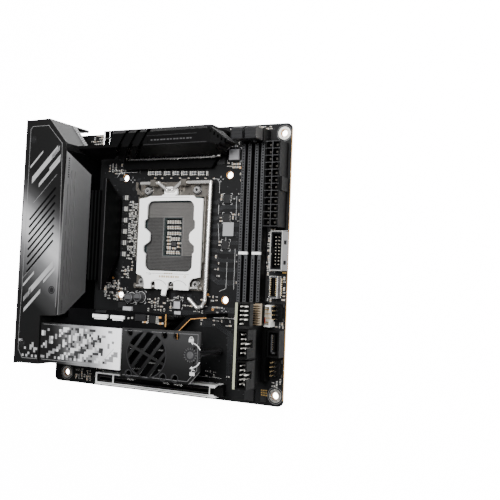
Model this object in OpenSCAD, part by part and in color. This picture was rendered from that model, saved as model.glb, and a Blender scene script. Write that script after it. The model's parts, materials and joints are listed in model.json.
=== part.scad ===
// Small square computer motherboard, assembled: circuit board, processor socket with its
// lever and load plate, memory and card slots, power and data connectors, upright front
// panel card, heatsinks, rear port block with shield and cover, and a stacked drive module.
//
// Origin: axis of the rear lower mounting hole, at the underside of the board.
// +X runs from the rear port edge to the front edge, +Y from the card slot edge to the
// processor edge, +Z away from the component side.

/* [Board] */
// Board length from the rear edge to the front edge
board_w = 170; // [169.5:0.5:170.5]
// Board length from the card slot edge to the processor edge
board_d = 170; // [169.5:0.5:170.5]
// Board thickness
pcb_t = 1.6; // [1.4:0.1:1.8]
// Radius of the board corners
corner_r = 3.5; // [2:0.5:4]
// Radius of the four mounting holes
mount_hole_r = 1.98; // [1.9:0.02:2.1]
// Radius of the plated ring around a mounting hole
ring_r = 4; // [3.6:0.1:4.4]

/* [Processor socket] */
// Half of the cooler hole spacing
cooler_half = 39; // [38.5:0.5:39]
// Radius of the cooler holes
cooler_hole_r = 2.1; // [2:0.05:2.2]
// Lever wire radius
lever_r = 1.1; // [1:0.05:1.15]
// Load plate sheet thickness
plate_t = 1.2; // [1:0.1:1.3]

/* [Memory slots] */
// Height of the slot bodies
dimm_h = 8; // [7.6:0.2:8.4]
// Width of one slot body
dimm_w = 6.6; // [6.2:0.1:6.8]
// Width of the groove that takes the module
dimm_groove = 1.5; // [1.3:0.1:1.7]

/* [Card slot] */
// Height of the long card slot
pcie_h = 11; // [10.6:0.2:11.4]
// Width of the groove that takes the card edge
pcie_groove = 1.8; // [1.6:0.1:2]

/* [Rear cover and shield] */
// Height of the cover above the board
cover_h = 41.7; // [41.5:0.1:42]
// Wall thickness of the cover
cover_wall = 1.5; // [1.3:0.1:1.7]
// Thickness of the port shield
shield_t = 0.9; // [0.7:0.1:1]

/* [Drive module] */
// Height of the top plates above the board
top_h = 41; // [40.8:0.1:41.2]
// Thickness of the top plates
top_t = 1.4; // [1.2:0.1:1.5]
// Radius of the round vent
vent_r = 13.2; // [12:0.2:13.4]
// Radius of the fan screw holes
fan_hole_r = 1.9; // [1.7:0.1:2]

/* [Front panel card] */
// Height of the upright card above the board
card_h = 42; // [41:0.5:43]

/* [Hidden] */
$fn = 48;
eps = 0.01;
datum_x = 10.16;
datum_y = 6.35;
mount_holes = [[10.16, 6.35], [33.02, 163.83], [165.1, 163.83], [165.1, 6.35]];
socket_x = 90.26;
socket_y = 100.17;
cooler_holes = [for (sx = [-1, 1], sy = [-1, 1]) [socket_x + sx * cooler_half, socket_y + sy * cooler_half]];
socket_screw_at = [[70.4, 130], [107.2, 130], [68.7, 70.3], [108.9, 70]];
lever_y = 134.6;
lever_z = 4.9;
hinge_y = 131.2;
hinge_z = 2.5;
dimm_x = [144.1, 152.9];
dimm_y0 = 20;
dimm_y1 = 157.5;
key_y = 90.3;
pcie_x0 = 42.3;
pcie_x1 = 130.7;
pcie_y0 = 2.6;
pcie_y1 = 10.2;
card_x = 157;
card_t = 1.5;
usb_stack_y = [133.5, 116.5, 99.5];
jack_z = [6.5, 18.5, 30.5];
fan_holes = [[87.6, 16], [111.6, 16], [119.6, 16], [87.6, 40], [111.6, 40], [119.6, 40]];
vent_x = 99.6;
vent_y = 28;
knob_x = 129.2;
knob_y = 30;
lower_board_z = 7;
lower_board_t = 1.6;
upper_board_z = 28.4;
upper_board_t = 1.6;
fin_z1 = 27.6;
shield_x0 = -0.2 - shield_t;
port_x0 = shield_x0 - 0.6;

board_dark = [0.06, 0.06, 0.07];
plastic_dark = [0.09, 0.09, 0.1];
plastic_gray = [0.35, 0.35, 0.37];
steel = [0.78, 0.78, 0.76];
gold = [0.83, 0.62, 0.28];
alu_dark = [0.13, 0.13, 0.14];
alu_gray = [0.38, 0.38, 0.4];
white_plastic = [0.9, 0.89, 0.86];

// Places children drawn from the board's rear lower corner and top face in the shared frame
module place() {
    translate([-datum_x, -datum_y, pcb_t]) children();
}

// Box between two corners
module block(x0, x1, y0, y1, z0, z1) {
    translate([x0, y0, z0]) cube([x1 - x0, y1 - y0, z1 - z0]);
}

// Flat outline raised between two heights
module slab(z0, z1) {
    translate([0, 0, z0]) linear_extrude(z1 - z0) children();
}

// Round rod between two points
module rod(a, b, r) {
    d = b - a;
    translate(a) rotate([0, acos(d[2] / norm(d)), atan2(d[1], d[0])]) cylinder(r = r, h = norm(d));
}

// Outline drawn as (y, z) raised along X
module side_prism(x0, x1, points) {
    translate([x0, 0, 0]) rotate([90, 0, 90]) linear_extrude(x1 - x0) polygon(points);
}

// Square with round corners
module round_square(w, d, r) {
    translate([r, 0]) square([w - 2 * r, d]);
    translate([0, r]) square([w, d - 2 * r]);
    for (x = [r, w - r], y = [r, d - r]) translate([x, y]) circle(r);
}

// ---- circuit board ----

module pcb() {
    color(board_dark) place() slab(-pcb_t, 0) difference() {
        round_square(board_w, board_d, corner_r);
        for (p = mount_holes) translate(p) circle(mount_hole_r);
        for (p = cooler_holes) translate(p) circle(cooler_hole_r);
        for (p = socket_screw_at) translate(p) circle(1.7);
    }
}

module mounting_rings() {
    color(gold) place() for (p = mount_holes, z = [0, -pcb_t - 0.08]) slab(z, z + 0.08) translate(p) difference() {
        circle(ring_r);
        circle(mount_hole_r + 0.42);
    }
}

// ---- processor socket ----

module socket_housing() {
    color(plastic_dark) place() difference() {
        block(69, 111.5, 75.2, 125.2, 0, 4.7);
        block(71.26, 109.26, 77.47, 122.87, 2.6, 5);
        block(85.4, 97.8, 88, 111.7, -1, 5);
        for (x = [68.9, 108.9]) block(x, x + 2.7, 95, 105, 3.4, 5);
    }
}

module socket_contacts() {
    color(gold) place() difference() {
        block(72, 108.5, 78.2, 122.1, 2.6, 2.9);
        block(84.6, 98.6, 87.2, 112.5, 2, 4);
    }
}

module socket_frame() {
    color(steel) place() {
        difference() {
            slab(0.05, 0.9) {
                translate([64, 66]) square([53.4, 69.6]);
            }
            block(68.4, 112.1, 74.6, 125.8, -1, 2);
            for (p = socket_screw_at) translate([p[0], p[1], -1]) cylinder(r = 1.75, h = 4);
        }
        block(114.5, 115.3, 84, 126, 0.85, 4.4);
        block(64.2, 65.2, 84, 126, 0.85, 3.6);
        for (x = [75, 97.8]) lever_tab(x, x + 4);
        for (side = [-1, 1]) hinge_lug(side);
        for (x = [64.6, 112.2]) rod_tab(x);
        block(64.4, 65.9, 127.4, 129.2, 0.85, 5.6);
        slab(4.6, 5.6) polygon([[63.1, 135.4], [64.5, 135.4], [64.7, 131.3], [66.5, 129.4], [68.3, 126.9],
            [67.1, 126], [65.3, 128.2], [63.1, 130.5]]);
    }
}

module lever_tab(x0, x1) {
    difference() {
        block(x0, x1, lever_y - 2.1, lever_y + 2, 0.85, lever_z + 2);
        translate([x0 - 1, lever_y, lever_z]) rotate([0, 90, 0]) cylinder(r = lever_r + 0.05, h = 6);
    }
}

module hinge_lug(side) {
    lug_x = 88.8 + side * 7;
    block(lug_x - 0.6, lug_x + 0.6, hinge_y - 1.2, hinge_y + 1.2, 0.85, hinge_z + 1);
    translate([lug_x, hinge_y, hinge_z]) rotate([0, -90 * side, 0]) cylinder(r = 0.6, h = 2.2);
}

module rod_tab(x) {
    difference() {
        block(x, x + 1.4, 66.1, 69.4, 0.85, 4.8);
        translate([x - 1, 67.7, 3.5]) rotate([0, 90, 0]) cylinder(r = 0.85, h = 4);
    }
}

module socket_screws() {
    color(steel) place() for (p = socket_screw_at) translate([p[0], p[1], 0]) difference() {
        union() {
            translate([0, 0, 0.95]) cylinder(r = 2.8, h = 0.5);
            translate([0, 0, 1.4]) cylinder(r1 = 2.5, r2 = 2.1, h = 1.25);
            translate([0, 0, -3.2]) cylinder(r = 1.4, h = 4.2);
        }
        translate([0, 0, 1.5]) for (a = [0, 60]) rotate(a) cylinder(r = 1.3, h = 2, $fn = 3);
        translate([0, 0, 1.5]) cylinder(r = 0.85, h = 2);
    }
}

module socket_backplate() {
    color(steel) place() slab(-pcb_t - 2, -pcb_t - 0.1) difference() {
        translate([62.5, 63.5]) round_square(52.5, 73, 3);
        for (p = socket_screw_at) translate(p) circle(1.45);
    }
}

module socket_rod() {
    color(steel) place() rod([64, 67.7, 3.5], [114.2, 67.7, 3.5], 0.8);
}

module socket_load_plate() {
    z0 = 4.95;
    color(steel) place() {
        difference() {
            slab(z0, z0 + plate_t) difference() {
                polygon([
                    [73.3, 66.2], [106.2, 66.2], [106.7, 71.2], [108.7, 73.6], [114.1, 74.6], [114.1, 124],
                    [109, 124.3], [107.2, 126], [75, 126], [72.2, 124.9], [67, 124.4], [67, 75.4],
                    [70.6, 74.4], [72.6, 72.2], [73.3, 69]
                ]);
                translate([73.2, 77.7]) round_square(34.9, 45.2, 4.4);
                translate([71.4, 88.6]) round_square(37.8, 22.6, 2.4);
                translate([80, 69.4]) circle(1.7);
                translate([78.3, 66]) square([3.4, 3.4]);
                translate([93.3, 69]) circle(2.2);
                translate([91.1, 66]) square([4.4, 3]);
            }
        }
        slab(z0, z0 + plate_t) {
            polygon([[71, 93.6], [71.6, 93.8], [75.2, 96], [76, 97.4], [76, 101.4], [75.2, 102.8], [71.6, 105.2],
                [71, 105.4]]);
            polygon([[109.6, 93.8], [109, 94.2], [106.2, 96.4], [105.4, 97.8], [105.4, 101.2], [106.2, 102.6],
                [109.2, 105.2], [109.6, 105.4]]);
        }
        side_prism(84, 93.6, [[125, z0], [125, z0 + plate_t], [126.4, z0 + plate_t], [127.7, 3.4], [131.2, 3.4],
            [131.2, 3.2], [129.9, 3.2], [129.9, 1.8], [126.8, 1.8], [125.8, z0]]);
        difference() {
            translate([84, hinge_y, hinge_z]) rotate([0, 90, 0]) cylinder(r = 1.1, h = 9.6);
            translate([83, hinge_y, hinge_z]) rotate([0, 90, 0]) cylinder(r = 0.66, h = 12);
        }
        side_prism(87.1, 90.3, [[70.5, z0], [70.5, z0 + plate_t], [66.2, z0 + plate_t], [62.8, z0 + 2.2],
            [62, z0 + 1.4], [66, z0]]);
    }
}

module socket_lever() {
    z = lever_z;
    path = [
        [66.5, lever_y, z], [80.3, lever_y, z], [86.8, 129.8, z], [90.8, 129.8, z], [97, lever_y, z],
        [118.5, lever_y, z], [117.7, 60.2, z], [115.8, 56.6, z], [112.4, 55.6, z], [106.1, 61.1, z]
    ];
    color(steel) place() {
        for (i = [0:len(path) - 2]) rod(path[i], path[i + 1], lever_r);
        for (i = [1:len(path) - 2]) translate(path[i]) sphere(lever_r + 0.15);
    }
}

// ---- memory slots ----

module dimm_slot(x) {
    half = dimm_w / 2;
    color(plastic_dark) place() difference() {
        union() {
            block(x - half, x + half, dimm_y0, dimm_y1, 0, dimm_h);
            block(x - half, x + half, dimm_y0, dimm_y0 + 3.7, 0, dimm_h + 6);
            block(x - half, x + half, dimm_y1 - eps, dimm_y1 + 8, 0, 1.6);
            for (side = [-1, 1]) translate([side * (half - 0.5), 0, 0])
                block(x - 0.5, x + 0.5, dimm_y1 - 1, dimm_y1 + 8, 0, 10.5);
        }
        block(x - dimm_groove / 2, x + dimm_groove / 2, dimm_y0 + 2, dimm_y1 + 1, 1.8, dimm_h + 8);
        for (side = [-1, 1]) translate([side * 1.95, 0, 0])
            block(x - 0.35, x + 0.35, dimm_y0 + 5, dimm_y1 - 3, dimm_h - 0.6, dimm_h + 1);
        block(x - half - 1, x + half + 1, key_y - 1.45, key_y + 1.45, dimm_h - 1.2, dimm_h + 1);
        translate([x - half - 1, dimm_y1 + 3.5, 4.5]) rotate([0, 90, 0]) cylinder(r = 0.95, h = dimm_w + 2);
    }
}

module dimm_slot_a() dimm_slot(dimm_x[0]);

module dimm_slot_b() dimm_slot(dimm_x[1]);

module dimm_keys() {
    color(white_plastic) place() for (x = dimm_x) {
        block(x - 2.9, x + 2.9, key_y - 0.8, key_y + 0.8, dimm_h - 1.15, dimm_h + 0.15);
        block(x - dimm_groove / 2 + 0.05, x + dimm_groove / 2 - 0.05, key_y - 0.7, key_y + 0.7, 1.9, dimm_h);
    }
}

module dimm_latch(x) {
    y = dimm_y1 + 3.5;
    color(plastic_gray) place() {
        translate([x - dimm_w / 2 + 0.1, y, 4.5]) rotate([0, 90, 0]) cylinder(r = 0.9, h = dimm_w - 0.2);
        translate([x - 2.1, y, 4.5]) rotate([0, 90, 0]) cylinder(r = 2.4, h = 4.2);
        block(x - 2.1, x + 2.1, y - 1.9, y + 2.2, 4.5, 13.5);
        side_prism(x - 3.5, x + 3.5, [[y - 3.6, 12.8], [y + 3.4, 12.8], [y + 3.6, 21], [y + 2.8, 22.5], [y - 3.6, 22.5]]);
        for (i = [0:2]) block(x - 3.5, x + 3.5, y - 2.8 + 2 * i, y - 1.8 + 2 * i, 22.4, 22.8);
        block(x - 0.6, x + 0.6, y - 5, y - 3.5, 14, 17);
    }
}

module dimm_latch_a() dimm_latch(dimm_x[0]);

module dimm_latch_b() dimm_latch(dimm_x[1]);

// ---- card slot ----

module pcie_slot_body() {
    mid = (pcie_y0 + pcie_y1) / 2;
    color(plastic_dark) place() difference() {
        block(pcie_x0 + 0.7, pcie_x1 - 0.7, pcie_y0 + 0.7, pcie_y1 - 0.7, 0, pcie_h - 0.4);
        block(pcie_x0 + 3, 55.2, mid - pcie_groove / 2, mid + pcie_groove / 2, 2.6, pcie_h);
        block(57, pcie_x1 - 3, mid - pcie_groove / 2, mid + pcie_groove / 2, 2.6, pcie_h);
    }
}

module pcie_slot_shell() {
    color(steel) place() {
        difference() {
            block(pcie_x0, pcie_x1, pcie_y0, pcie_y1, 0.4, pcie_h);
            block(pcie_x0 + 0.65, pcie_x1 - 0.65, pcie_y0 + 0.65, pcie_y1 - 0.65, -1, pcie_h - 0.38);
            block(pcie_x0 + 1.1, pcie_x1 - 4.2, pcie_y0 + 1.6, pcie_y1 - 0.9, 5, pcie_h + 1);
            for (i = [0:5]) block(52 + 13 * i, 56 + 13 * i, pcie_y0 - 1, pcie_y1 + 1, 0, 1.6);
        }
        block(55.7, 56.6, pcie_y0 + 1.2, pcie_y1 - 0.5, pcie_h - 0.36, pcie_h);
    }
}

module pcie_latch() {
    mid = (pcie_y0 + pcie_y1) / 2;
    color(plastic_dark) place() {
        side_prism(131.1, 132.9, [[mid - 3.4, 1.8], [mid + 3.4, 1.8], [mid + 3.4, 8], [mid + 2, 13.5], [mid - 2, 13.5],
            [mid - 3.4, 8]]);
        block(132.8, 136.4, mid - 2.6, mid + 2.6, 11.4, 13.2);
        translate([132, mid - 3.6, 2.2]) rotate([-90, 0, 0]) cylinder(r = 0.9, h = 7.2);
    }
}

// ---- power connectors ----

module power_shell(x0, x1, y0, y1, h, cols, rows, pitch) {
    cx = (x0 + x1) / 2;
    cy = (y0 + y1) / 2;
    difference() {
        block(x0, x1, y0, y1, 0, h);
        for (i = [0:cols - 1], j = [0:rows - 1]) translate([
            cx + (i - (cols - 1) / 2) * pitch, cy + (j - (rows - 1) / 2) * pitch, 2.4
        ]) pin_cell(h, (i + j) % 2 == 0);
    }
}

// Cell for one terminal, square or with two cut corners
module pin_cell(h, plain) {
    w = 1.78;
    c = plain ? 0.05 : 0.8;
    linear_extrude(h) polygon([[-w, -w], [w, -w], [w, w - c], [w - c, w], [c - w, w], [-w, w - c]]);
}

module atx_power_connector() {
    color(plastic_dark) place() {
        power_shell(158.5, 168.1, 106, 157.4, 12.8, 2, 12, 4.2);
        block(168.1 - eps, 169, 127.6, 135.8, 0, 12.2);
        block(168.1 - eps, 169.7, 127.6, 135.8, 10.2, 12.2);
    }
}

module atx_power_pins() {
    color(gold) place() for (i = [0, 1], j = [0:11])
        translate([161.2 + 4.2 * i, 108.6 + 4.2 * j, 2.4]) block(-0.57, 0.57, -0.57, 0.57, 0, 8.2);
}

module cpu_power_connector() {
    color(plastic_dark) place() {
        power_shell(40.9, 59.3, 159.4, 169, 12.8, 4, 2, 4.2);
        for (i = [0:3], j = [0, 1])
            translate([43.8 + 4.2 * i, 162.1 + 4.2 * j, 2.38]) block(-0.5, 0.5, -0.5, 0.5, 0, 8.2);
    }
}

// ---- data headers on the board ----

module usb_header_shell() {
    color(steel) place() difference() {
        block(162.4, 170.2, 80.4, 103.8, 0, 9.4);
        block(163.2, 169.4, 81.2, 103, 1.6, 10);
        block(169, 170.6, 84, 86.4, 3, 7);
        block(169, 170.6, 96, 98.4, 3, 7);
        block(162, 163.6, 89.6, 94.6, 4, 10);
    }
}

module usb_header_pins() {
    color(gold) place() {
        block(163.3, 169.3, 81.3, 102.9, 1.6, 2.4);
        for (i = [0, 1], j = [0:8])
            translate([165.3 + 2 * i, 84.1 + 2 * j, 2.3]) block(-0.25, 0.25, -0.25, 0.25, 0, 5.4);
    }
}

module usb_c_header() {
    color(steel) place() {
        difference() {
            block(161.9, 166.6, 64.1, 77, 0, 6.8);
            block(162.5, 166, 64.9, 76.2, 1.2, 8);
            for (i = [0:4]) block(161.5, 167, 66 + 2 * i, 66.8 + 2 * i, 5.6, 7);
        }
        block(163.9, 164.6, 66, 75.2, 1, 6);
    }
}

// ---- upright front panel card ----

module front_panel_card() {
    color(board_dark) place() difference() {
        block(card_x, card_x + card_t, 13.8, 61.5, 1.4, card_h);
        for (y = [17.5, 57.5]) translate([card_x - 1, y, 24]) rotate([0, 90, 0]) cylinder(r = 1.1, h = 4);
    }
}

module card_box(y0, y1) {
    x0 = card_x + card_t + 0.05;
    difference() {
        block(x0, x0 + 6.4, y0, y1, 30.4, 41.2);
        block(x0 + 0.8, x0 + 5.5, y0 + 0.9, y1 - 0.9, 33, 42);
        block(x0 + 5, x0 + 7, (y0 + y1) / 2 - 2.2, (y0 + y1) / 2 + 2.2, 34.4, 42);
    }
}

module card_box_headers() {
    color(plastic_dark) place() {
        card_box(30.9, 46.6);
        card_box(13.9, 29.5);
    }
}

module card_header_pins() {
    x0 = card_x + card_t + 0.05;
    color(gold) place() for (y = [38.75, 21.7], i = [0, 1], j = [-2:2])
        if (i == 0 || j != 2) translate([x0 + 1.9 + 2.54 * i, y + 2.54 * j, 33])
            block(-0.32, 0.32, -0.32, 0.32, 0, 6.4);
}

module card_pin_header() {
    x0 = card_x + card_t + 0.05;
    color(gold) place() {
        block(x0, x0 + 5.2, 48.4, 60.9, 32.6, 35);
        for (i = [0, 1], j = [-2:2]) if (i == 0 || j != -2)
            translate([x0 + 1.4 + 2.54 * i, 54.6 + 2.4 * j, 34.9]) block(-0.32, 0.32, -0.32, 0.32, 0, 6);
        block(x0, x0 + 1.4, 47.9, 60.7, 8.2, 19);
    }
}

module card_base_connector() {
    color(plastic_dark) place() difference() {
        block(card_x - 0.7, card_x + card_t + 2.6, 15, 45.8, 0, 7.2);
        block(card_x - 0.05, card_x + card_t + 0.05, 10, 50, 1.3, 8);
    }
}

module sata_port() {
    color(plastic_dark) place() {
        difference() {
            block(162.2, 169.9, 29.4, 45.2, 0, 8.4);
            block(163.2, 168.9, 30.6, 44, 1.8, 9);
        }
        block(165.6, 166.8, 31.6, 43, 1.7, 7.6);
        block(165.6, 168, 31.6, 32.8, 1.7, 7.6);
    }
}

module fan_header(x, y, len) {
    difference() {
        block(x, x + 5.8, y, y + len, 0, 3.2);
        block(x + 4.9, x + 7, y + 2, y + len - 2, 1.2, 4);
    }
    block(x, x + 1.2, y + 1.6, y + len - 1.6, 0, 7);
    for (j = [0:3]) translate([x + 3.2, y + len / 2 + 2.54 * (j - 1.5), 3.1]) block(-0.3, 0.3, -0.3, 0.3, 0, 5.2);
}

module fan_headers() {
    color(plastic_dark) place() {
        fan_header(163.8, 50.2, 10.6);
        fan_header(163.8, 17.4, 10.4);
    }
}

module pump_header() {
    color(white_plastic) place() difference() {
        block(158.9, 163.2, 47, 59.8, 0, 7.4);
        block(159.6, 162.5, 48, 58.8, 1.4, 8);
        block(162, 163.6, 50.4, 56.4, 3, 8);
    }
}

// ---- rear ports ----

module port_box(y0, y1, z0, z1, x1) {
    difference() {
        block(port_x0, x1, y0, y1, z0, z1);
        children();
    }
}

module usb_a_ports() {
    color(steel) place() for (y = usb_stack_y) {
        port_box(y - 7.2, y + 7.2, 0.1, 15.8, 16) for (z = [1.3, 9.1])
            block(port_x0 - 1, 12, y - 6.4, y + 6.4, z, z + 5.4);
        for (z = [4.1, 11.9]) block(port_x0 + 1.4, 12.2, y - 5.6, y + 5.6, z, z + 1.9);
    }
}

module lan_port() {
    color(steel) place() port_box(73.6, 90, 0.1, 13.8, 18) {
        block(port_x0 - 1, 13, 75.9, 87.7, 3.6, 11.4);
        block(port_x0 - 1, 13, 78.8, 84.8, 1.4, 3.7);
    }
}

module usb_c_ports() {
    color(steel) place() for (z = [1, 9]) {
        difference() {
            block(port_x0, 9, 62, 71.2, z, z + 3.4);
            block(port_x0 - 1, 7.4, 62.5, 70.7, z + 0.45, z + 2.95);
        }
        block(port_x0 + 0.8, 7.6, 63.6, 69.6, z + 1.35, z + 2.05);
        block(1, 9, 62.6, 70.6, z - 0.9, z + eps);
    }
}

module video_port() {
    color(steel) place() {
        difference() {
            block(port_x0, 12, 143.2, 158.6, 0.4, 7);
            block(port_x0 - 1, 10.5, 143.9, 157.9, 1.2, 6.2);
        }
        block(port_x0 + 1, 10.7, 145.6, 156.2, 3.2, 4.6);
    }
}

module audio_jacks() {
    color(plastic_dark) place() for (z = jack_z) difference() {
        union() {
            block(0.1, 14, 43.6, 55.6, z - 5.95, z + 5.95);
            translate([shield_x0 - 0.5, 49.6, z]) rotate([0, 90, 0]) cylinder(r = 4, h = 3);
        }
        translate([shield_x0 - 1, 49.6, z]) rotate([0, 90, 0]) cylinder(r = 1.78, h = 13);
    }
}

module antenna_jacks() {
    color(gold) place() for (z = [10, 26]) translate([0, 165, z]) rotate([0, -90, 0]) {
        difference() {
            union() {
                translate([0, 0, -6]) cylinder(r = 3.1, h = 13.6);
                translate([0, 0, -2.2]) cylinder(r = 4.6, h = 2, $fn = 6);
            }
            translate([0, 0, 2]) cylinder(r = 2.3, h = 7);
        }
        cylinder(r = 0.6, h = 6.4);
    }
}

module button_housing() {
    color(plastic_dark) place() difference() {
        block(0.1, 9.5, 20, 38, 0.1, 12);
        for (y = [24.5, 33.5]) translate([-1, y, 6]) rotate([0, 90, 0]) cylinder(r = 3.45, h = 8.4);
    }
}

module rear_button(y) {
    translate([port_x0 - 0.3, y, 6]) rotate([0, 90, 0]) {
        cylinder(r = 2.2, h = 3.2);
        translate([0, 0, 3]) cylinder(r = 3.1, h = 3.6);
    }
}

module bios_button() color(white_plastic) place() rear_button(33.5);

module clear_cmos_button() color(white_plastic) place() rear_button(24.5);

module io_shield() {
    color(alu_dark) place() difference() {
        block(shield_x0, -0.2, 14.7, 173.45, -2.8, 41.65);
        for (y = usb_stack_y) block(-3, 1, y - 7.4, y + 7.4, -0.1, 16);
        block(-3, 1, 73.4, 90.2, -0.1, 14);
        for (z = [1, 9]) block(-3, 1, 61.8, 71.4, z - 0.2, z + 3.6);
        block(-3, 1, 143, 158.8, 0.2, 7.2);
        for (z = jack_z) translate([-3, 49.6, z]) rotate([0, 90, 0]) cylinder(r = 4.3, h = 5);
        for (z = [10, 26]) translate([-3, 165, z]) rotate([0, 90, 0]) cylinder(r = 3.4, h = 5);
        for (y = [24.5, 33.5]) translate([-3, y, 6]) rotate([0, 90, 0]) cylinder(r = 2.6, h = 5);
        for (y = [66:6:156], z = [24, 32]) block(-3, 1, y, y + 4, z, z + 5);
    }
}

// ---- rear cover ----

cover_outline = [[-0.15, 15.2], [19.4, 15.5], [18.9, 46.2], [31.5, 46.9], [31.5, 126], [32.2, 157.4], [18, 173.4],
    [-0.15, 173]];
cover_inside = [[-1, 16.7], [17.9, 16.9], [17.4, 47.7], [28.7, 48.4], [28.7, 126], [29.4, 156.5], [17.2, 171.8],
    [-1, 171.5]];
cover_wall_outline = [[-0.15, 15.2], [19.4, 15.5], [18.9, 46.2], [30.1, 46.9], [30.1, 153], [30.7, 157.2],
    [18, 173.4], [-0.15, 173]];

module io_cover() {
    color(alu_gray) place() {
        slab(cover_h - cover_wall, cover_h) difference() {
            polygon(cover_outline);
            for (i = [0:7]) translate([15.9, 117.7 - 4.83 * i]) rotate(45.8) square([29, 1.2], center = true);
        }
        difference() {
            slab(0.3, cover_h - cover_wall + eps) difference() {
                polygon(cover_wall_outline);
                polygon(cover_inside);
            }
            translate([26.4, 167.6, 0]) rotate(-52) block(-8.5, 9.5, -6, 4, -1, 14);
        }
    }
}

module io_side_panel() {
    color(alu_gray) place() difference() {
        side_prism(30.15, 31.5, [[46.9, 40.1], [152.4, 40.1], [140.4, 12.5], [61.8, 12.5], [48, 33]]);
        for (i = [0:1]) block(31, 32, 58, 140, 33 - 4 * i, 33.6 - 4 * i);
    }
}

// ---- power stage cooling ----

module vrm_heatsink_left() {
    color(alu_dark) place() difference() {
        union() {
            side_prism(47.2, 49.6, [[64, 20], [136.6, 20], [136.6, 17.5], [124, 1.8], [88, 1.8], [64, 17.5]]);
            side_prism(32, 47.3, [[70, 11.8], [130, 11.8], [130, 9], [124, 1.8], [88, 1.8], [70, 9]]);
        }
        block(31, 38.4, 60, 140, 0, 8.4);
        for (i = [0:4]) block(33.4 + 2.8 * i, 35 + 2.8 * i, 62, 140, 9.4, 21);
    }
}

// Outline of the long heatsink as (y, z); d shrinks its front and top faces
module top_sink_prism(x0, x1, d = 0) {
    side_prism(x0, x1, [[151.2 + d, 4], [151.2 + d, 12.5], [149.9 + d, 14.5], [154.4 + d, 31 - d], [163, 31 - d],
        [165.8 - d, 28], [166.4 - d, 24], [166.4 - d, 0.6], [164.6 - d, 0.6], [164.6 - d, 8.4], [153 + d, 8.4],
        [153 + d, 4]]);
}

// Three slanted grooves follow the front face and cross the top
module top_sink_grooves() {
    difference() {
        for (x = [65.9, 74.2, 81.8]) translate([x, 154.4, 31]) rotate([0, 28.6, -30.9])
            cube([2.1, 60, 80], center = true);
        top_sink_prism(40, 120, 2);
        block(40, 120, 153.5, 175, -40, 26);
        block(40, 120, 165.2, 180, -40, 60);
    }
}

// Sloping end with a comb of short fins behind and three slots in front
module top_sink_end() {
    difference() {
        intersection() {
            translate([0, 175, 0]) rotate([90, 0, 0]) linear_extrude(35)
                polygon([[128.5, 31], [131, 31], [140, 24], [140, 14.5], [128.5, 14.5]]);
            slab(10, 40) polygon([[128.5, 149.9], [140, 156], [131, 163.6], [128.5, 164]]);
            side_prism(128, 141, [[149.9, 14.5], [154.4, 31], [165, 31], [165, 14.5]]);
        }
        for (i = [0:4]) block(130.4 + 1.8 * i, 131.3 + 1.8 * i, 160.3 - 1.5 * i, 170, 17, 32);
        for (i = [0:2]) translate([129.6 + 2.6 * i, 150.6 + 1.3 * i, 0]) rotate(-38) block(-0.3, 0.3, -4, 2.2, 12, 32);
    }
}

module vrm_heatsink_top() {
    color(alu_dark) place() {
        difference() {
            union() {
                top_sink_prism(60, 128.6);
                side_prism(34, 60.1, [[149.9, 14.5], [154.4, 31], [156.4, 31], [156.4, 14.5]]);
            }
            top_sink_grooves();
            block(87, 121, 155.8, 159.6, 30.6, 32);
        }
        top_sink_end();
        slab(1.8, 4.6) polygon([[52, 144.1], [118.4, 143.8], [122.4, 150], [122.4, 153], [52.4, 153]]);
    }
}

module vrm_thermal_pads() {
    color(plastic_gray) place() {
        block(53, 118, 145.6, 151.8, 1, 1.8);
        block(60.4, 127, 153.8, 163, 7.9, 8.4);
        block(40, 46.4, 89.6, 122.4, 1, 1.8);
        block(32.6, 38, 89.6, 122.4, 7.9, 8.4);
    }
}

module vrm_inductors() {
    color(plastic_gray) place() {
        for (i = [1:8]) block(52.4 + 8.4 * i, 59.4 + 8.4 * i, 154, 162.8, 0, 7.9);
        for (i = [0:3]) block(32.6, 38, 90 + 8.2 * i, 97 + 8.2 * i, 0, 7.9);
    }
}

module vrm_power_stages() {
    color(plastic_dark) place() {
        for (i = [0:8]) block(53 + 8.4 * i, 58.8 + 8.4 * i, 146, 151.4, 0, 1);
        for (i = [0:3]) block(40.4, 46, 90.6 + 8.2 * i, 96.4 + 8.2 * i, 0, 1);
    }
}

// ---- small parts ----

module small_chips() {
    color(plastic_dark) place() {
        block(128.8, 136.4, 148, 155.4, 0, 1.1);
        for (y = [121.5, 109.6, 92.6]) block(126, 130.6, y, y + 5.2, 0, 1.1);
        block(93.3, 98.5, 53.9, 59, 0, 1.6);
        block(93.6, 98.8, 50.2, 52.8, 0, 1);
        block(50.6, 57, 52.6, 56, 0, 1.4);
        block(155.8, 159.4, 2, 9.8, 0, 0.4);
        block(146, 152, 2, 9, 0, 2.2);
    }
}

module capacitors() {
    color(plastic_gray) place() for (p = [[60.4, 59.4], [67.4, 60.2]]) translate([p[0], p[1], 0]) {
        cylinder(r = 3.1, h = 4.6);
        translate([0, 0, 4.6]) cylinder(r1 = 3.1, r2 = 2.7, h = 0.4);
    }
}

module chipset() {
    color(plastic_gray) place() {
        block(58, 82, 20, 42, 0, 0.9);
        block(65, 75, 26, 36, 0.9, 1.7);
    }
}

module coin_cell() {
    color(steel) place() {
        translate([21, 112, 12]) rotate([0, 90, 0]) {
            difference() {
                cylinder(r = 11, h = 3);
                translate([0, 0, 0.8]) cylinder(r = 10.05, h = 4);
            }
            translate([0, 0, 0.8]) cylinder(r = 9.95, h = 3.1);
        }
        block(21, 24, 107, 117, 0, 2.4);
    }
}

// ---- drive modules and their cover ----

lower_outline = [[20.4, 17], [102.7, 17], [102.7, 41.2], [111, 49.4], [111, 50.8], [32.4, 50.8], [32.4, 45.4],
    [20.4, 45.4]];

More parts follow.
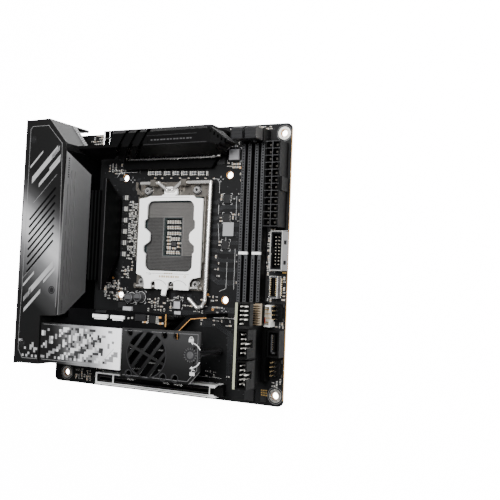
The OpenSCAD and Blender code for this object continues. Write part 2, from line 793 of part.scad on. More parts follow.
module m2_lower_board() {
    color(board_dark) place() {
        slab(lower_board_z, lower_board_z + lower_board_t) polygon(lower_outline);
        block(34, 56, 45.6, 50.2, 0, lower_board_z - 0.02);
        for (x = [24, 100]) translate([x, 19.5, 0]) cylinder(r = 2, h = lower_board_z - 0.02);
    }
}

module m2_lower_heatsink() {
    z0 = lower_board_z + lower_board_t;
    color(alu_dark) place() difference() {
        slab(z0, fin_z1) polygon([[27, 18], [101.8, 18], [101.8, 41.4], [109.8, 49.4], [109.8, 50.3], [33, 50.3], [33, 45],
            [27, 45]]);
        block(27, 112, 18.8, 42.6, z0 - 1, 12.9);
        for (i = [0:7]) block(20, 112, 20.2 + 3.8 * i, 22 + 3.8 * i, 16.4, 30);
        for (i = [0:2]) block(30, 112, 49.2, 52, 17 + 3.6 * i, 18.6 + 3.6 * i);
    }
}

module m2_upper_board() {
    color(board_dark) place() {
        slab(upper_board_z, upper_board_z + upper_board_t) polygon([[20.4, 17], [104.8, 17], [104.8, 51.8], [33.4, 51.8],
            [32.2, 50.4], [32.2, 45.4], [20.4, 45.4]]);
        for (x = [36, 96], y = [19.2, 48.6]) translate([x, y, fin_z1]) cylinder(r = 0.9, h = 1);
        for (x = [40, 78]) translate([x, 18.4, upper_board_z + 1]) cylinder(r = 0.9, h = 5.9);
        translate([103, 30.6, upper_board_z + 1]) cylinder(r = 1.5, h = 2.2);
    }
}

module m2_socket(z) {
    difference() {
        block(20.8, 26.4, 19.4, 41.8, z, z + 4.1);
        block(23.4, 27, 20.4, 40.8, z + 1.9, z + 3.2);
    }
}

module m2_sockets() {
    color(plastic_dark) place() {
        m2_socket(upper_board_z + upper_board_t);
        m2_socket(lower_board_z + lower_board_t);
    }
}

module m2_cover_plate() {
    color(white_plastic) place() {
        block(19.9, 81.4, 17.2, 41.9, top_h - top_t, top_h);
        block(38.2, 81.2, 18, 41.2, 35.3, top_h - top_t + eps);
    }
}

module vent_outline() {
    difference() {
        polygon([[82, 13.3], [128.7, 13.4], [135.5, 21], [135.5, 43.6], [82, 42.6]]);
        for (p = fan_holes) translate(p) circle(fan_hole_r);
        translate([knob_x, knob_y]) circle(4.3);
        translate([knob_x + 2, knob_y - 5]) square([10, 10]);
        translate([vent_x, vent_y]) circle(vent_r);
    }
}

module m2_vent_plate() {
    z0 = top_h - top_t;
    color(alu_gray) place() {
        slab(z0, top_h) vent_outline();
        slab(z0 + 0.2, top_h - 0.2) translate([vent_x, vent_y]) intersection() {
            circle(vent_r + 0.3);
            union() {
                rotate(52) for (v = [-9, -3, 3, 9]) translate([0, v]) square([2 * vent_r + 2, 1.9], center = true);
                rotate(-22) square([2 * vent_r + 2, 1.5], center = true);
            }
        }
        block(82.05, 84.6, 17.8, 38, 36, z0 + 0.1);
    }
}

module m2_latch_knob() {
    color(alu_dark) place() translate([knob_x, knob_y, 0]) {
        difference() {
            union() {
                translate([0, 0, 37.6]) cylinder(r = 5.6, h = 1.6);
                translate([0, 0, 39]) cylinder(r = 4, h = top_h - 39);
                translate([0, 0, 4.2]) cylinder(r = 1.6, h = 34);
            }
            for (i = [0:17]) rotate(20 * i) translate([5.7, 0, 37]) cylinder(r = 0.45, h = 3);
            for (a = [0, 90]) rotate(a) translate([0, 0, top_h]) cube([2.8, 0.7, 1.6], center = true);
        }
    }
}

pcb();
mounting_rings();
socket_housing();
socket_contacts();
socket_frame();
socket_screws();
socket_backplate();
socket_rod();
socket_load_plate();
socket_lever();
dimm_slot_a();
dimm_slot_b();
dimm_keys();
dimm_latch_a();
dimm_latch_b();
pcie_slot_body();
pcie_slot_shell();
pcie_latch();
atx_power_connector();
atx_power_pins();
cpu_power_connector();
usb_header_shell();
usb_header_pins();
usb_c_header();
front_panel_card();
card_box_headers();
card_header_pins();
card_pin_header();
card_base_connector();
sata_port();
fan_headers();
pump_header();
io_shield();
io_cover();
io_side_panel();
usb_a_ports();
lan_port();
usb_c_ports();
video_port();
audio_jacks();
antenna_jacks();
button_housing();
bios_button();
clear_cmos_button();
vrm_heatsink_left();
vrm_heatsink_top();
vrm_thermal_pads();
vrm_inductors();
vrm_power_stages();
small_chips();
capacitors();
chipset();
coin_cell();
m2_lower_board();
m2_lower_heatsink();
m2_upper_board();
m2_sockets();
m2_cover_plate();
m2_vent_plate();
m2_latch_knob();
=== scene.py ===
import json
import math
import random

import bpy
import bmesh
from mathutils import Matrix, Vector


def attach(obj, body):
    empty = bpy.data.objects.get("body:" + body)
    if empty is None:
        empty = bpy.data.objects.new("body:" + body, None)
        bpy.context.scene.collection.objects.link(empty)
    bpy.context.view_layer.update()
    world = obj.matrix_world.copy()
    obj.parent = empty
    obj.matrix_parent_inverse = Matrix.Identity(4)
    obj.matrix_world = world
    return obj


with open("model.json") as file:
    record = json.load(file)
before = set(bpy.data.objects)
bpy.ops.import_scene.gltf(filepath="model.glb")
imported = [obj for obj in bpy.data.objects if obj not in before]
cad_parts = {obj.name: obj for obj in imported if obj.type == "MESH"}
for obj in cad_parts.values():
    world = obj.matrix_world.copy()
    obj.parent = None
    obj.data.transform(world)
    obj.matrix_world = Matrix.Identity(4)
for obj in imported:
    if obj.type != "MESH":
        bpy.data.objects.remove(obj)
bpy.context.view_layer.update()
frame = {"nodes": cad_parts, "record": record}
random.seed(7)

# Board coordinates in millimetres, from the board's rear lower corner and top face.
OX, OY, OZ = 10.16, 6.35, -1.6
UNDERSIDE_PART = -2.2      # foot of the parts that hang below the board
PLATE_TOP = 6.15           # socket load plate
DRIVE_BOARD_TOP = 30     # stacked drive board
DRIVE_TOP = 41           # drive and vent covers
COVER_TOP = 41.7           # rear cover
PRINT = 0.02               # thickness of printed lines
MOUNT_HOLES = ((10.16, 6.35), (33.02, 163.83), (165.1, 163.83), (165.1, 6.35))
COOLER_HOLES = ((51.26, 61.17), (129.26, 61.17), (51.26, 139.17), (129.26, 139.17))
ROUND_CANS = ((60.4, 59.4), (67.4, 60.2))


def P(x, y, z):
    return Vector(((x - OX) / 1000, (y - OY) / 1000, (z - OZ) / 1000))


# -------- materials

def new_mat(name):
    m = bpy.data.materials.new(name)
    m.use_nodes = True
    nt = m.node_tree
    return m, nt, nt.nodes["Principled BSDF"]


def node(nt, kind, result, links=(), operation=None, **values):
    """Adds a shader node; links are (input, socket) pairs, values name inputs with _ for a space."""
    n = nt.nodes.new("ShaderNode" + kind)
    if operation:
        n.operation = operation
    for key, value in values.items():
        n.inputs[key.replace("_", " ")].default_value = value
    for key, socket in links:
        nt.links.new(socket, n.inputs[key])
    return n.outputs[result]


def noise(nt, scale, detail, rough):
    place = node(nt, "TexCoord", "Object")
    return node(nt, "TexNoise", "Fac", [("Vector", place)], Scale=scale, Detail=detail, Roughness=rough)


def ramp(nt, fac, stops):
    r = nt.nodes.new("ShaderNodeValToRGB")
    els = r.color_ramp.elements
    while len(els) < len(stops):
        els.new(0.5)
    for e, (pos, col) in zip(els, stops):
        e.position = pos
        e.color = (col[0], col[1], col[2], 1)
    nt.links.new(fac, r.inputs["Fac"])
    return r.outputs["Color"]


def maprange(nt, fac, a, b, c, d):
    return node(nt, "MapRange", "Result", [("Value", fac)], From_Min=a, From_Max=b, To_Min=c, To_Max=d)


def bump(nt, height, strength, distance):
    return node(nt, "Bump", "Normal", [("Height", height)], Strength=strength, Distance=distance)


def finish_mat(nt, bsdf, colour, rough, normal, metal, spec):
    for key, socket in (("Base Color", colour), ("Roughness", rough), ("Normal", normal)):
        nt.links.new(socket, bsdf.inputs[key])
    bsdf.inputs["Metallic"].default_value = metal
    bsdf.inputs["Specular IOR Level"].default_value = spec


def surface(name, base, rough=0.5, metal=0, vary=0.12, scale=900, spec=0.5, bump_d=2e-5, bump_s=0.3):
    """Plain material whose colour and roughness drift with a fine and a broad noise."""
    m, nt, bsdf = new_mat(name)
    fine = noise(nt, scale, 5, 0.6)
    broad = noise(nt, scale / 22, 3, 0.5)
    half = node(nt, "Math", "Value", [(0, broad)], "MULTIPLY")
    half.node.inputs[1].default_value = 0.5
    mix = node(nt, "Math", "Value", [(0, fine), (2, half)], "MULTIPLY_ADD")
    mix.node.inputs[1].default_value = 0.5
    lo = [max(0, c * (1 - vary)) for c in base]
    hi = [min(1, c * (1 + vary)) for c in base]
    colour = ramp(nt, mix, [(0.3, lo), (0.7, hi)])
    rough = maprange(nt, mix, 0.3, 0.7, rough - 0.08, rough + 0.08)
    finish_mat(nt, bsdf, colour, rough, bump(nt, fine, bump_s, bump_d), metal, spec)
    return m


def graded(name, dx, dy, stops, spec=0.35):
    """Painted metal whose grey runs along (dx, dy), which carries painted reflection and painted light on some
    slots; stops are (board mm along the run, grey).
    """
    m, nt, bsdf = new_mat(name)
    dot = node(nt, "VectorMath", "Value", [(0, node(nt, "TexCoord", "Object"))], "DOT_PRODUCT")
    dot.node.inputs[1].default_value = (dx * 1000, dy * 1000, 0)
    lo, hi = stops[0][0], stops[-1][0]
    shift = dx * OX + dy * OY
    run = maprange(nt, dot, lo - shift, hi - shift, 0, 1)
    shade = ramp(nt, run, [((t - lo) / (hi - lo), (g, g, g * 1.02)) for t, g in stops])
    fine = noise(nt, 2600, 5, 0.6)
    grain = maprange(nt, fine, 0.3, 0.7, 0.9, 1.1)
    colour = node(nt, "VectorMath", "Vector", [(0, shade), ("Scale", grain)], "SCALE")
    rough = maprange(nt, fine, 0.3, 0.7, 0.36, 0.48)
    finish_mat(nt, bsdf, colour, rough, bump(nt, fine, 0.25, 1e-5), 0.15, spec)
    return m


# name, colour, roughness, metal, colour variation, noise scale, specular level, bump distance and strength
MAT = {row[0]: surface(*row) for row in (
    # one for each slot whose look is even
    ("board_mask", (0.0032, 0.0033, 0.0036), 0.5, 0, 0.3, 1400, 0.15, 1e-5, 0.25),
    ("card_mask", (0.0014, 0.0014, 0.0016), 0.5, 0, 0.3, 1400, 0.06, 1e-5, 0.25),
    ("plated_pad", (0.75, 0.72, 0.66), 0.35, 1, 0.08, 1500),
    ("socket_plastic", (0.02, 0.03, 0.031), 0.5, 0, 0.12, 900, 0.3),
    ("socket_contact", (0.12, 0.115, 0.11), 0.45, 0.5),
    ("socket_steel", (0.97, 0.965, 0.955), 0.4, 0.1, 0.03, 700),
    ("lever_steel", (0.93, 0.91, 0.88), 0.24, 0.8, 0.04, 700),
    ("backplate_steel", (0.02, 0.02, 0.021), 0.4, 0.5),
    ("slot_plastic", (0.003, 0.003, 0.0034), 0.55, 0, 0.12, 900, 0.12),
    ("key_plastic", (0.8, 0.8, 0.79), 0.45, 0, 0.04),
    ("latch_plastic", (0.008, 0.008, 0.009), 0.55, 0, 0.12, 900, 0.2),
    ("shell_steel", (0.75, 0.74, 0.73), 0.3, 1, 0.05),
    ("connector_plastic", (0.0018, 0.0018, 0.0019), 0.6, 0, 0.12, 900, 0.06),
    ("terminal_metal", (0.75, 0.66, 0.5), 0.35, 1, 0.06),
    ("pale_connector", (0.75, 0.74, 0.71), 0.45, 0, 0.04),
    ("port_steel", (0.65, 0.65, 0.64), 0.32, 1, 0.05),
    ("port_plastic", (0.005, 0.005, 0.0055), 0.5, 0, 0.12, 900, 0.2),
    ("shield_metal", (0.014, 0.014, 0.015), 0.45, 0.2, 0.12, 900, 0.3),
    ("heatsink_metal", (0.0013, 0.0013, 0.0014), 0.5, 0, 0.15, 2600, 0.07),
    ("thermal_pad", (0.25, 0.27, 0.3), 0.7),
    ("inductor_body", (0.03, 0.03, 0.031), 0.55, 0, 0.12, 900, 0.3),
    ("chip_body", (0.008, 0.008, 0.0085), 0.42, 0, 0.12, 900, 0.3),
    ("capacitor_can", (0.12, 0.12, 0.125), 0.4, 0.6),
    ("cell_steel", (0.6, 0.6, 0.58), 0.3, 1),
    ("knob_plastic", (0.012, 0.012, 0.013), 0.45, 0, 0.12, 900, 0.3),
    ("button_plastic", (0.3, 0.3, 0.3), 0.45),
    # small parts, prints and trim that this script adds
    ("ceramic_tan", (0.33, 0.235, 0.155), 0.5, 0, 0.3, 500, 0.5, 1e-5, 0.2),
    ("resistor_dark", (0.02, 0.02, 0.022), 0.4, 0, 0.3, 500, 0.5, 1e-5, 0.2),
    ("ceramic_gray", (0.30, 0.285, 0.26), 0.5, 0, 0.2, 500, 0.5, 1e-5, 0.2),
    ("solder", (0.82, 0.81, 0.79), 0.3, 1, 0.06, 1500),
    ("silk_print", (0.5, 0.5, 0.5), 0.6, 0, 0.12, 2500),
    ("silk_print_dim", (0.16, 0.16, 0.165), 0.6, 0, 0.12, 2500),
    ("copper_rim", (0.72, 0.36, 0.12), 0.4, 0.6, 0.1, 1500),
    ("board_core", (0.75, 0.42, 0.14), 0.65, 0, 0.2, 1800),
    ("board_core_pale", (0.26, 0.27, 0.19), 0.65, 0, 0.2, 1800),
    ("board_via", (0.05, 0.05, 0.055), 0.35, 0.3, 0.15, 1500),
    ("board_trace", (0.016, 0.017, 0.019), 0.36, 0, 0.15, 1500),
    ("choke_gray", (0.30, 0.30, 0.31), 0.6, 0, 0.12, 1500, 0.5, 3e-5, 0.4),
    ("label_silver", (0.24, 0.24, 0.245), 0.45, 0.1, 0.05, 1200),
    ("dark_gloss", (0.01, 0.01, 0.011), 0.25, 0, 0.2, 1500),
    ("etched_line", (0.3, 0.3, 0.3), 0.55, 0.6, 0.12, 1500),
    ("knob_edge", (0.07, 0.07, 0.072), 0.4, 0.2, 0.15, 1500),
    ("stamped_tan", (0.5, 0.4, 0.27), 0.5, 0.3, 0.12, 1500),
    ("contact_gold", (0.72, 0.55, 0.30), 0.35, 1, 0.1, 1500),
    ("slot_edge", (0.03, 0.031, 0.033), 0.45, 0, 0.15, 1500, 0.3),
    ("bright_steel", (0.86, 0.86, 0.85), 0.22, 1, 0.05),
    ("plastic_edge", (0.03, 0.03, 0.032), 0.35, 0, 0.15, 1500),
    ("gold_pad", (0.95, 0.62, 0.22), 0.3, 1, 0.06, 1200),
    ("tan_plastic", (0.17, 0.125, 0.075), 0.5, 0, 0.2, 1500),
    ("red_print", (0.45, 0.03, 0.02), 0.5, 0, 0.1, 1500),
    ("vent_edge", (0.03, 0.03, 0.032), 0.35, 0.5, 0.1, 2600),
    ("silver_line", (0.30, 0.30, 0.305), 0.45, 0.4, 0.1, 2600),
    ("silver_band", (0.42, 0.42, 0.425), 0.42, 0.4, 0.08, 2600),
    ("dark_print", (0.02, 0.02, 0.021), 0.5, 0.1, 0.15, 2600),
    ("black_steel", (0.05, 0.05, 0.052), 0.3, 0.8, 0.15, 1800),
    ("nickel_pipe", (0.7, 0.69, 0.68), 0.25, 1, 0.04, 700),
    ("sink_edge", (0.08, 0.08, 0.083), 0.35, 0.6, 0.12, 2600),
    ("sink_mark", (0.06, 0.06, 0.062), 0.4, 0.4, 0.12, 2600),
    ("slate_body", (0.085, 0.09, 0.1), 0.45, 0, 0.25, 500, 0.5, 1e-5, 0.2),
    ("tin_ends", (0.5, 0.49, 0.46), 0.42, 0.35, 0.12, 700),
    ("slot_dark", (0.0015, 0.0015, 0.0017), 0.5, 0, 0.15, 1500, 0.08),
    # black for slits, grooves and shaded gaps: painted shade
    ("void_black", (0.0008, 0.0008, 0.0009), 0.7, 0, 0.3, 1500, 0.03),
    # lighter and darker copies of the contact colour for the two halves of the contact grid: painted reflection
    # and painted shade
    ("contact_pale", (0.12, 0.118, 0.114), 0.45, 0.5, 0.2, 1500),
    ("contact_deep", (0.045, 0.044, 0.043), 0.45, 0.5, 0.25, 1500),
    ("bed_dark", (0.05, 0.049, 0.048), 0.6, 0, 0.2, 1500, 0.2),
    ("bed_rim", (0.11, 0.11, 0.11), 0.55, 0, 0.15, 1500, 0.3),
    ("liner_black", (0.0015, 0.0015, 0.0016), 0.5, 0, 0.2, 1500, 0.06),
    ("white_part", (0.8, 0.8, 0.79), 0.5, 0, 0.06, 1200),
    ("square_light", (0.6, 0.6, 0.61), 0.45, 0.1, 0.12, 700),
    ("square_mid", (0.22, 0.22, 0.225), 0.45, 0.1, 0.12, 700),
    # nodes whose look differs from the rest of their slot
    # socket frame: a darker copy of the socket steel, painted shadow of the load plate on the frame
    ("frame_steel", (0.2, 0.185, 0.165), 0.3, 0.8, 0.3, 350),
    ("screw_steel", (0.72, 0.71, 0.7), 0.25, 0.85, 0.1),
    ("pins_in_shadow", (0.02, 0.018, 0.015), 0.5, 0.6, 0.15, 1500),
    ("slot_frame_steel", (0.9, 0.9, 0.89), 0.42, 0.1, 0.06),
    ("header_shell_steel", (0.06, 0.06, 0.062), 0.4, 0.4, 0.1),
    ("header_c_steel", (0.05, 0.05, 0.052), 0.4, 0.4, 0.1),
    ("pins_dull", (0.45, 0.42, 0.36), 0.4, 0.7, 0.12, 1500),
    ("pins_bright", (0.75, 0.73, 0.68), 0.35, 0.5, 0.1, 1500),
    ("pins_bright_two", (0.75, 0.73, 0.68), 0.35, 0.5, 0.1, 1500),
)}
# slots whose grey runs across the face: on the rear cover a painted reflection, bright across the middle; on
# the side panel painted light, lighter as y grows; the drive cover fades from near black to near white and the
# vent plate darkens towards y = 0
for row in (
        # rear cover: the bright middle band is a painted reflection
        ("cover_metal", 0.7, 1, [(0, 0.004), (62, 0.005), (68, 0.02), (75, 0.03), (82, 0.07), (92, 0.14),
         (104, 0.42), (113, 0.4), (122, 0.14), (129, 0.045), (136, 0.012), (144, 0.004), (190, 0.005)]),
        # side panel: the rising grey is painted light
        ("side_metal", 0, 1, [(40, 0.07), (70, 0.09), (110, 0.14), (140, 0.22), (152, 0.3), (160, 0.3)]),
        ("drive_cover", 1, 0.25, [(10, 0.003), (38, 0.005), (44, 0.03), (50, 0.12), (56, 0.2), (63, 0.16),
         (69, 0.3), (75, 0.6), (82, 0.9), (90, 0.95)]),
        ("vent_metal", 0.06, 1, [(0, 0.001), (16, 0.002), (28, 0.008), (38, 0.018), (46, 0.03), (60, 0.03)],
         0.12)):
    MAT[row[0]] = graded(*row)

OWN = {"socket_frame": "frame_steel", "socket_screws": "screw_steel", "atx_power_pins": "pins_in_shadow",
       "pcie_slot_shell": "slot_frame_steel", "usb_header_shell": "header_shell_steel",
       "usb_c_header": "header_c_steel", "usb_header_pins": "pins_dull", "card_header_pins": "pins_bright",
       "card_pin_header": "pins_bright_two"}
slot_of = {s["node"]: s["material_slot"] for s in frame["record"]["subparts"]}
for name, obj in frame["nodes"].items():
    obj.data.materials.clear()
    obj.data.materials.append(MAT[OWN.get(name, slot_of[name])])


# -------- mesh building

def arc(x, y, r, degrees):
    """Points on a circle at the given angles."""
    return [(x + r * math.cos(math.radians(a)), y + r * math.sin(math.radians(a))) for a in degrees]


class Build:
    """Collects simple solids given in board millimetres into one mesh."""

    def __init__(self):
        self.v, self.f = [], []

    def hexa(self, p):
        n = len(self.v)
        self.v += p
        self.f += [(n, n + 3, n + 2, n + 1), (n + 4, n + 5, n + 6, n + 7), (n, n + 1, n + 5, n + 4),
                   (n + 1, n + 2, n + 6, n + 5), (n + 2, n + 3, n + 7, n + 6), (n + 3, n, n + 4, n + 7)]

    def box(self, x0, x1, y0, y1, z0, z1, inset=0):
        """Box whose top face can be smaller than its foot by inset."""
        i = inset
        self.hexa([(x0, y0, z0), (x1, y0, z0), (x1, y1, z0), (x0, y1, z0), (x0 + i, y0 + i, z1),
                   (x1 - i, y0 + i, z1), (x1 - i, y1 - i, z1), (x0 + i, y1 - i, z1)])

    def prism(self, pts, a, b, axis="z"):
        """Outline raised between a and b along z or x; pts are the other two coordinates in order."""
        n, k = len(self.v), len(pts)
        for t in (a, b):
            self.v += [(u, w, t) if axis == "z" else (t, u, w) for u, w in pts]
        self.f += [tuple(range(n, n + k)), tuple(range(n + 2 * k - 1, n + k - 1, -1))]
        self.f += [(n + i, n + (i + 1) % k, n + k + (i + 1) % k, n + k + i) for i in range(k)]

    def disc(self, c, r, h, n, r2=None):
        """Short upright cylinder or cone from c."""
        s = len(self.v)
        for t, q in ((0, r), (h, r if r2 is None else r2)):
            for i in range(n):
                a = 2 * math.pi * i / n
                self.v.append((c[0] + q * math.cos(a), c[1] + q * math.sin(a), c[2] + t))
        self.f += [tuple(range(s, s + n)), tuple(range(s + 2 * n - 1, s + n - 1, -1))]
        self.f += [(s + i, s + (i + 1) % n, s + n + (i + 1) % n, s + n + i) for i in range(n)]

    def ring(self, c, r0, r1, h, n=28, a0=0, a1=360):
        """Flat ring or arc of a ring."""
        s = len(self.v)
        full = a1 - a0 >= 360
        k = n if full else n + 1
        for i in range(k):
            a = math.radians(a0 + (a1 - a0) * i / n)
            for q, t in ((r0, 0), (r1, 0), (r1, h), (r0, h)):
                self.v.append((c[0] + q * math.cos(a), c[1] + q * math.sin(a), c[2] + t))
        for i in range(n):
            a, b = s + 4 * i, s + 4 * ((i + 1) % k)
            self.f += [(a + j, a + (j + 1) % 4, b + (j + 1) % 4, b + j) for j in range(4)]
        if not full:
            e = s + 4 * n
            self.f += [(s, s + 3, s + 2, s + 1), (e, e + 1, e + 2, e + 3)]

    def star(self, c, r0, r1, h):
        """Six-lobed plug, as in the head of a screw."""
        pts = []
        for i in range(24):
            pts += arc(c[0], c[1], r1 if i % 4 in (0, 1) else r0, [15 * i])
        self.prism(pts, c[2], c[2] + h)

    def strip(self, path, width, z, h=PRINT):
        """Flat strip with mitred bends on a level face."""
        left, right = [], []
        for i, p in enumerate(path):
            a = Vector(path[max(i - 1, 0)])
            b = Vector(path[min(i + 1, len(path) - 1)])
            d = (b - a).normalized()
            k = 1
            if 0 < i < len(path) - 1:
                d1 = (Vector(p) - a).normalized()
                d2 = (b - Vector(p)).normalized()
                d = (d1 + d2).normalized()
                k = 1 / max(0.35, d.dot(d1))
            n = Vector((-d.y, d.x)) * width / 2 * k
            left.append((p[0] + n.x, p[1] + n.y))
            right.append((p[0] - n.x, p[1] - n.y))
        for i in range(len(path) - 1):
            self.prism([left[i], right[i], right[i + 1], left[i + 1]], z, z + h)

    def rod(self, path, r, n):
        """Round bar through points."""
        s, m = len(self.v), len(path)
        for i, p in enumerate(path):
            a = Vector(path[max(i - 1, 0)])
            b = Vector(path[min(i + 1, m - 1)])
            d = (b - a).normalized()
            side = d.cross(Vector((0, 0, 1))).normalized()
            top = side.cross(d)
            for j in range(n):
                t = 2 * math.pi * j / n
                self.v.append(tuple(Vector(p) + side * r * math.cos(t) + top * r * math.sin(t)))
        self.f += [tuple(range(s, s + n)), tuple(range(s + m * n - 1, s + m * n - n - 1, -1))]
        for a in range(s, s + (m - 1) * n, n):
            self.f += [(a + j, a + (j + 1) % n, a + n + (j + 1) % n, a + n + j) for j in range(n)]

    def done(self, name, look, slot, body="board", bevel=0, smooth=False):
        """Makes the object, in metres, and gives it a body and a material; the slot argument is not used."""
        me = bpy.data.meshes.new(name)
        me.from_pydata([tuple(P(*p)) for p in self.v], [], self.f)
        bm = bmesh.new()
        bm.from_mesh(me)
        bmesh.ops.recalc_face_normals(bm, faces=bm.faces)
        bm.to_mesh(me)
        bm.free()
        ob = bpy.data.objects.new(name, me)
        bpy.context.scene.collection.objects.link(ob)
        me.materials.append(MAT[look])
        if smooth:
            for p in me.polygons:
                p.use_smooth = True
        if bevel:
            mod = ob.modifiers.new("edge", "BEVEL")
            mod.width = bevel / 1000
            mod.segments = 2
            mod.limit_method = "ANGLE"
        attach(ob, body)


def boxes(name, look, slot, rows, **more):
    """One piece made of boxes only."""
    build = Build()
    for row in rows:
        build.box(*row)
    build.done(name, look, slot, **more)


# -------- small surface parts

ends = Build()
BODY = {kind: Build() for kind in "tdgs"}      # tan, dark, grey and slate bodies


def cap(x, y, w, l, h, kind, share=0.3):
    """Capacitor that lies along Y, with broad plated ends."""
    e = l * share
    BODY[kind].box(x - w / 2 + 0.03, x + w / 2 - 0.03, y - l / 2 + e, y + l / 2 - e, 0, h)
    for y0, y1 in ((y - l / 2, y - l / 2 + e + 0.02), (y + l / 2 - e - 0.02, y + l / 2)):
        ends.box(x - w / 2, x + w / 2, y0, y1, 0, h + 0.05, 0.1)


def chip(x, y, l, w, h, kind="t", along="x", z=0):
    """Two-ended surface part: a body with plated ends that wrap round it."""
    a, b, e = l / 2, w / 2, l * 0.24
    for build, a0, a1, side, top, inset in ((BODY[kind], -a + e, a - e, b, h, 0),
                                            (ends, -a, -a + e + 0.02, b + 0.02, h + 0.04, 0.04),
                                            (ends, a - e - 0.02, a, b + 0.02, h + 0.04, 0.04),
                                            (ends, -a - 0.25, a + 0.25, b + 0.05, 0.07, 0.05)):
        span = (x + a0, x + a1, y - side, y + side) if along == "x" else (x - side, x + side, y + a0, y + a1)
        build.box(*span, z, z + top, inset)


SIZES = [(1, 0.55, 0.4), (1.6, 0.85, 0.6), (1.6, 0.85, 0.6), (2, 1.25, 0.8)]


def scatter(x0, x1, y0, y1, step_x, step_y, kinds, fill, sizes, turn=0.3):
    """Loose rows of parts over a rectangle, with gaps, turned parts and mixed sizes."""
    nx = max(1, int((x1 - x0) / step_x))
    ny = max(1, int((y1 - y0) / step_y))
    for j in range(ny):
        for i in range(nx):
            pick = random.random()
            jx, jy = random.uniform(-0.25, 0.25), random.uniform(-0.2, 0.2)
            size = SIZES[random.choice(sizes)]
            kind = random.choice(kinds)
            side = "y" if random.random() < turn else "x"
            if pick <= fill:
                x, y = x0 + (i + 0.5) * (x1 - x0) / nx + jx, y0 + (j + 0.5) * (y1 - y0) / ny + jy
                chip(x, y, *size, kind, side)


# left of the socket: six rows of larger parts, with four loose columns of small ones beside the last five
for g in range(6):
    y = 125.9 - 7.55 * g
    BODY["d"].box(50.2, 52, y - 1.5, y + 1.5, 0, 1.2, 0.1)
    ends.box(51.9, 52.7, y - 1.6, y + 1.6, 0, 1.3, 0.12)
    ends.box(53.5, 54.3, y - 1.6, y + 1.6, 0, 1.3, 0.12)
    BODY["d"].box(54.3, 55.4, y - 1.5, y + 1.5, 0, 1.2, 0.1)
    if g == 0:
        continue
    for x in (55.9, 58.1, 60.5, 62.6):
        for k in range(4):
            jx, jy, pick = random.uniform(-0.35, 0.35), random.uniform(-0.25, 0.25), random.random()
            kind, side = random.choice("dssg"), random.choice("xyx")
            if pick < 0.78:
                chip(x + jx, y + 2.9 - 1.9 * k + jy, 1.6, 0.95, 0.7, kind, side)
chip(57, 123, 2.2, 1.2, 0.9, "s")
BODY["d"].box(46.9, 50.2, 137.2, 139.6, 0, 1.3, 0.1)
scatter(44.2, 50.8, 64.6, 71.4, 2.2, 2, "tds", 0.8, (0, 1, 1), 0.5)
scatter(51, 57.6, 71.6, 80.4, 2.1, 1.9, "tds", 0.85, (0, 1, 1, 2), 0.3)
scatter(57.8, 60.8, 77, 84, 1.9, 1.8, "ts", 0.6, (0, 1), 0.5)
# row between the long heatsink and the socket
for i, x in enumerate((69.6, 75.1, 81.9, 88.6, 95, 101.4, 107.4, 113.4)):
    y = 141.9 - 0.03 * (x - 69)
    ends.box(x - 0.5, x + 0.45, y - 1.5, y + 1.5, 0, 1.3, 0.15)
    for dx in (1.5, 3.3):
        if i < 7:
            cap(x + dx, y, 1.3, 2.5, 1.1, "s")
    chip(x + 4.6, y - 3.2, 1, 0.55, 0.4)
# socket cavity: rows of upright capacitors
for y, xs in ((109.6, (86.3, 88.1, 89.9, 91.9, 93.7, 95.5)), (106, (86.5, 88.2, 89.9, 91.9, 93.7, 95.5)),
              (102.2, (86.6, 88.3, 90, 92, 93.8, 95.6)), (98.6, (89.5, 91.2, 93, 94.8)),
              (89.9, (86.6, 88.2, 89.8, 91.4, 93.6, 95.3))):
    for x in xs:
        cap(x, y, 1.2, 2.3, 0.9, "t", 0.42)
for x, y in ((87, 99.8), (87, 97.6), (87.2, 95.4), (87.2, 93.4), (87.3, 92.5), (94.9, 95.9), (94.9, 93.6),
             (91.2, 92.6)):
    chip(x, y, 2.3, 1.1, 0.9)
BODY["d"].box(89.6, 93, 94, 96.8, 0, 0.9, 0.1)
# near the choke, right of the long heatsink
for x, y in ((132.2, 145.9), (135.2, 145.9), (132.2, 143.9), (135.2, 143.9)):
    chip(x, y, 1.9, 1.2, 0.8)
scatter(126.8, 131.4, 143.6, 147.6, 1.9, 1.4, "ts", 0.9, (0, 1))
scatter(137.3, 140.4, 142, 158, 1.7, 1.9, "td", 0.85, (0, 1), 0.6)
scatter(128, 140, 156.4, 160, 1.8, 1.6, "ts", 0.7, (0, 1))
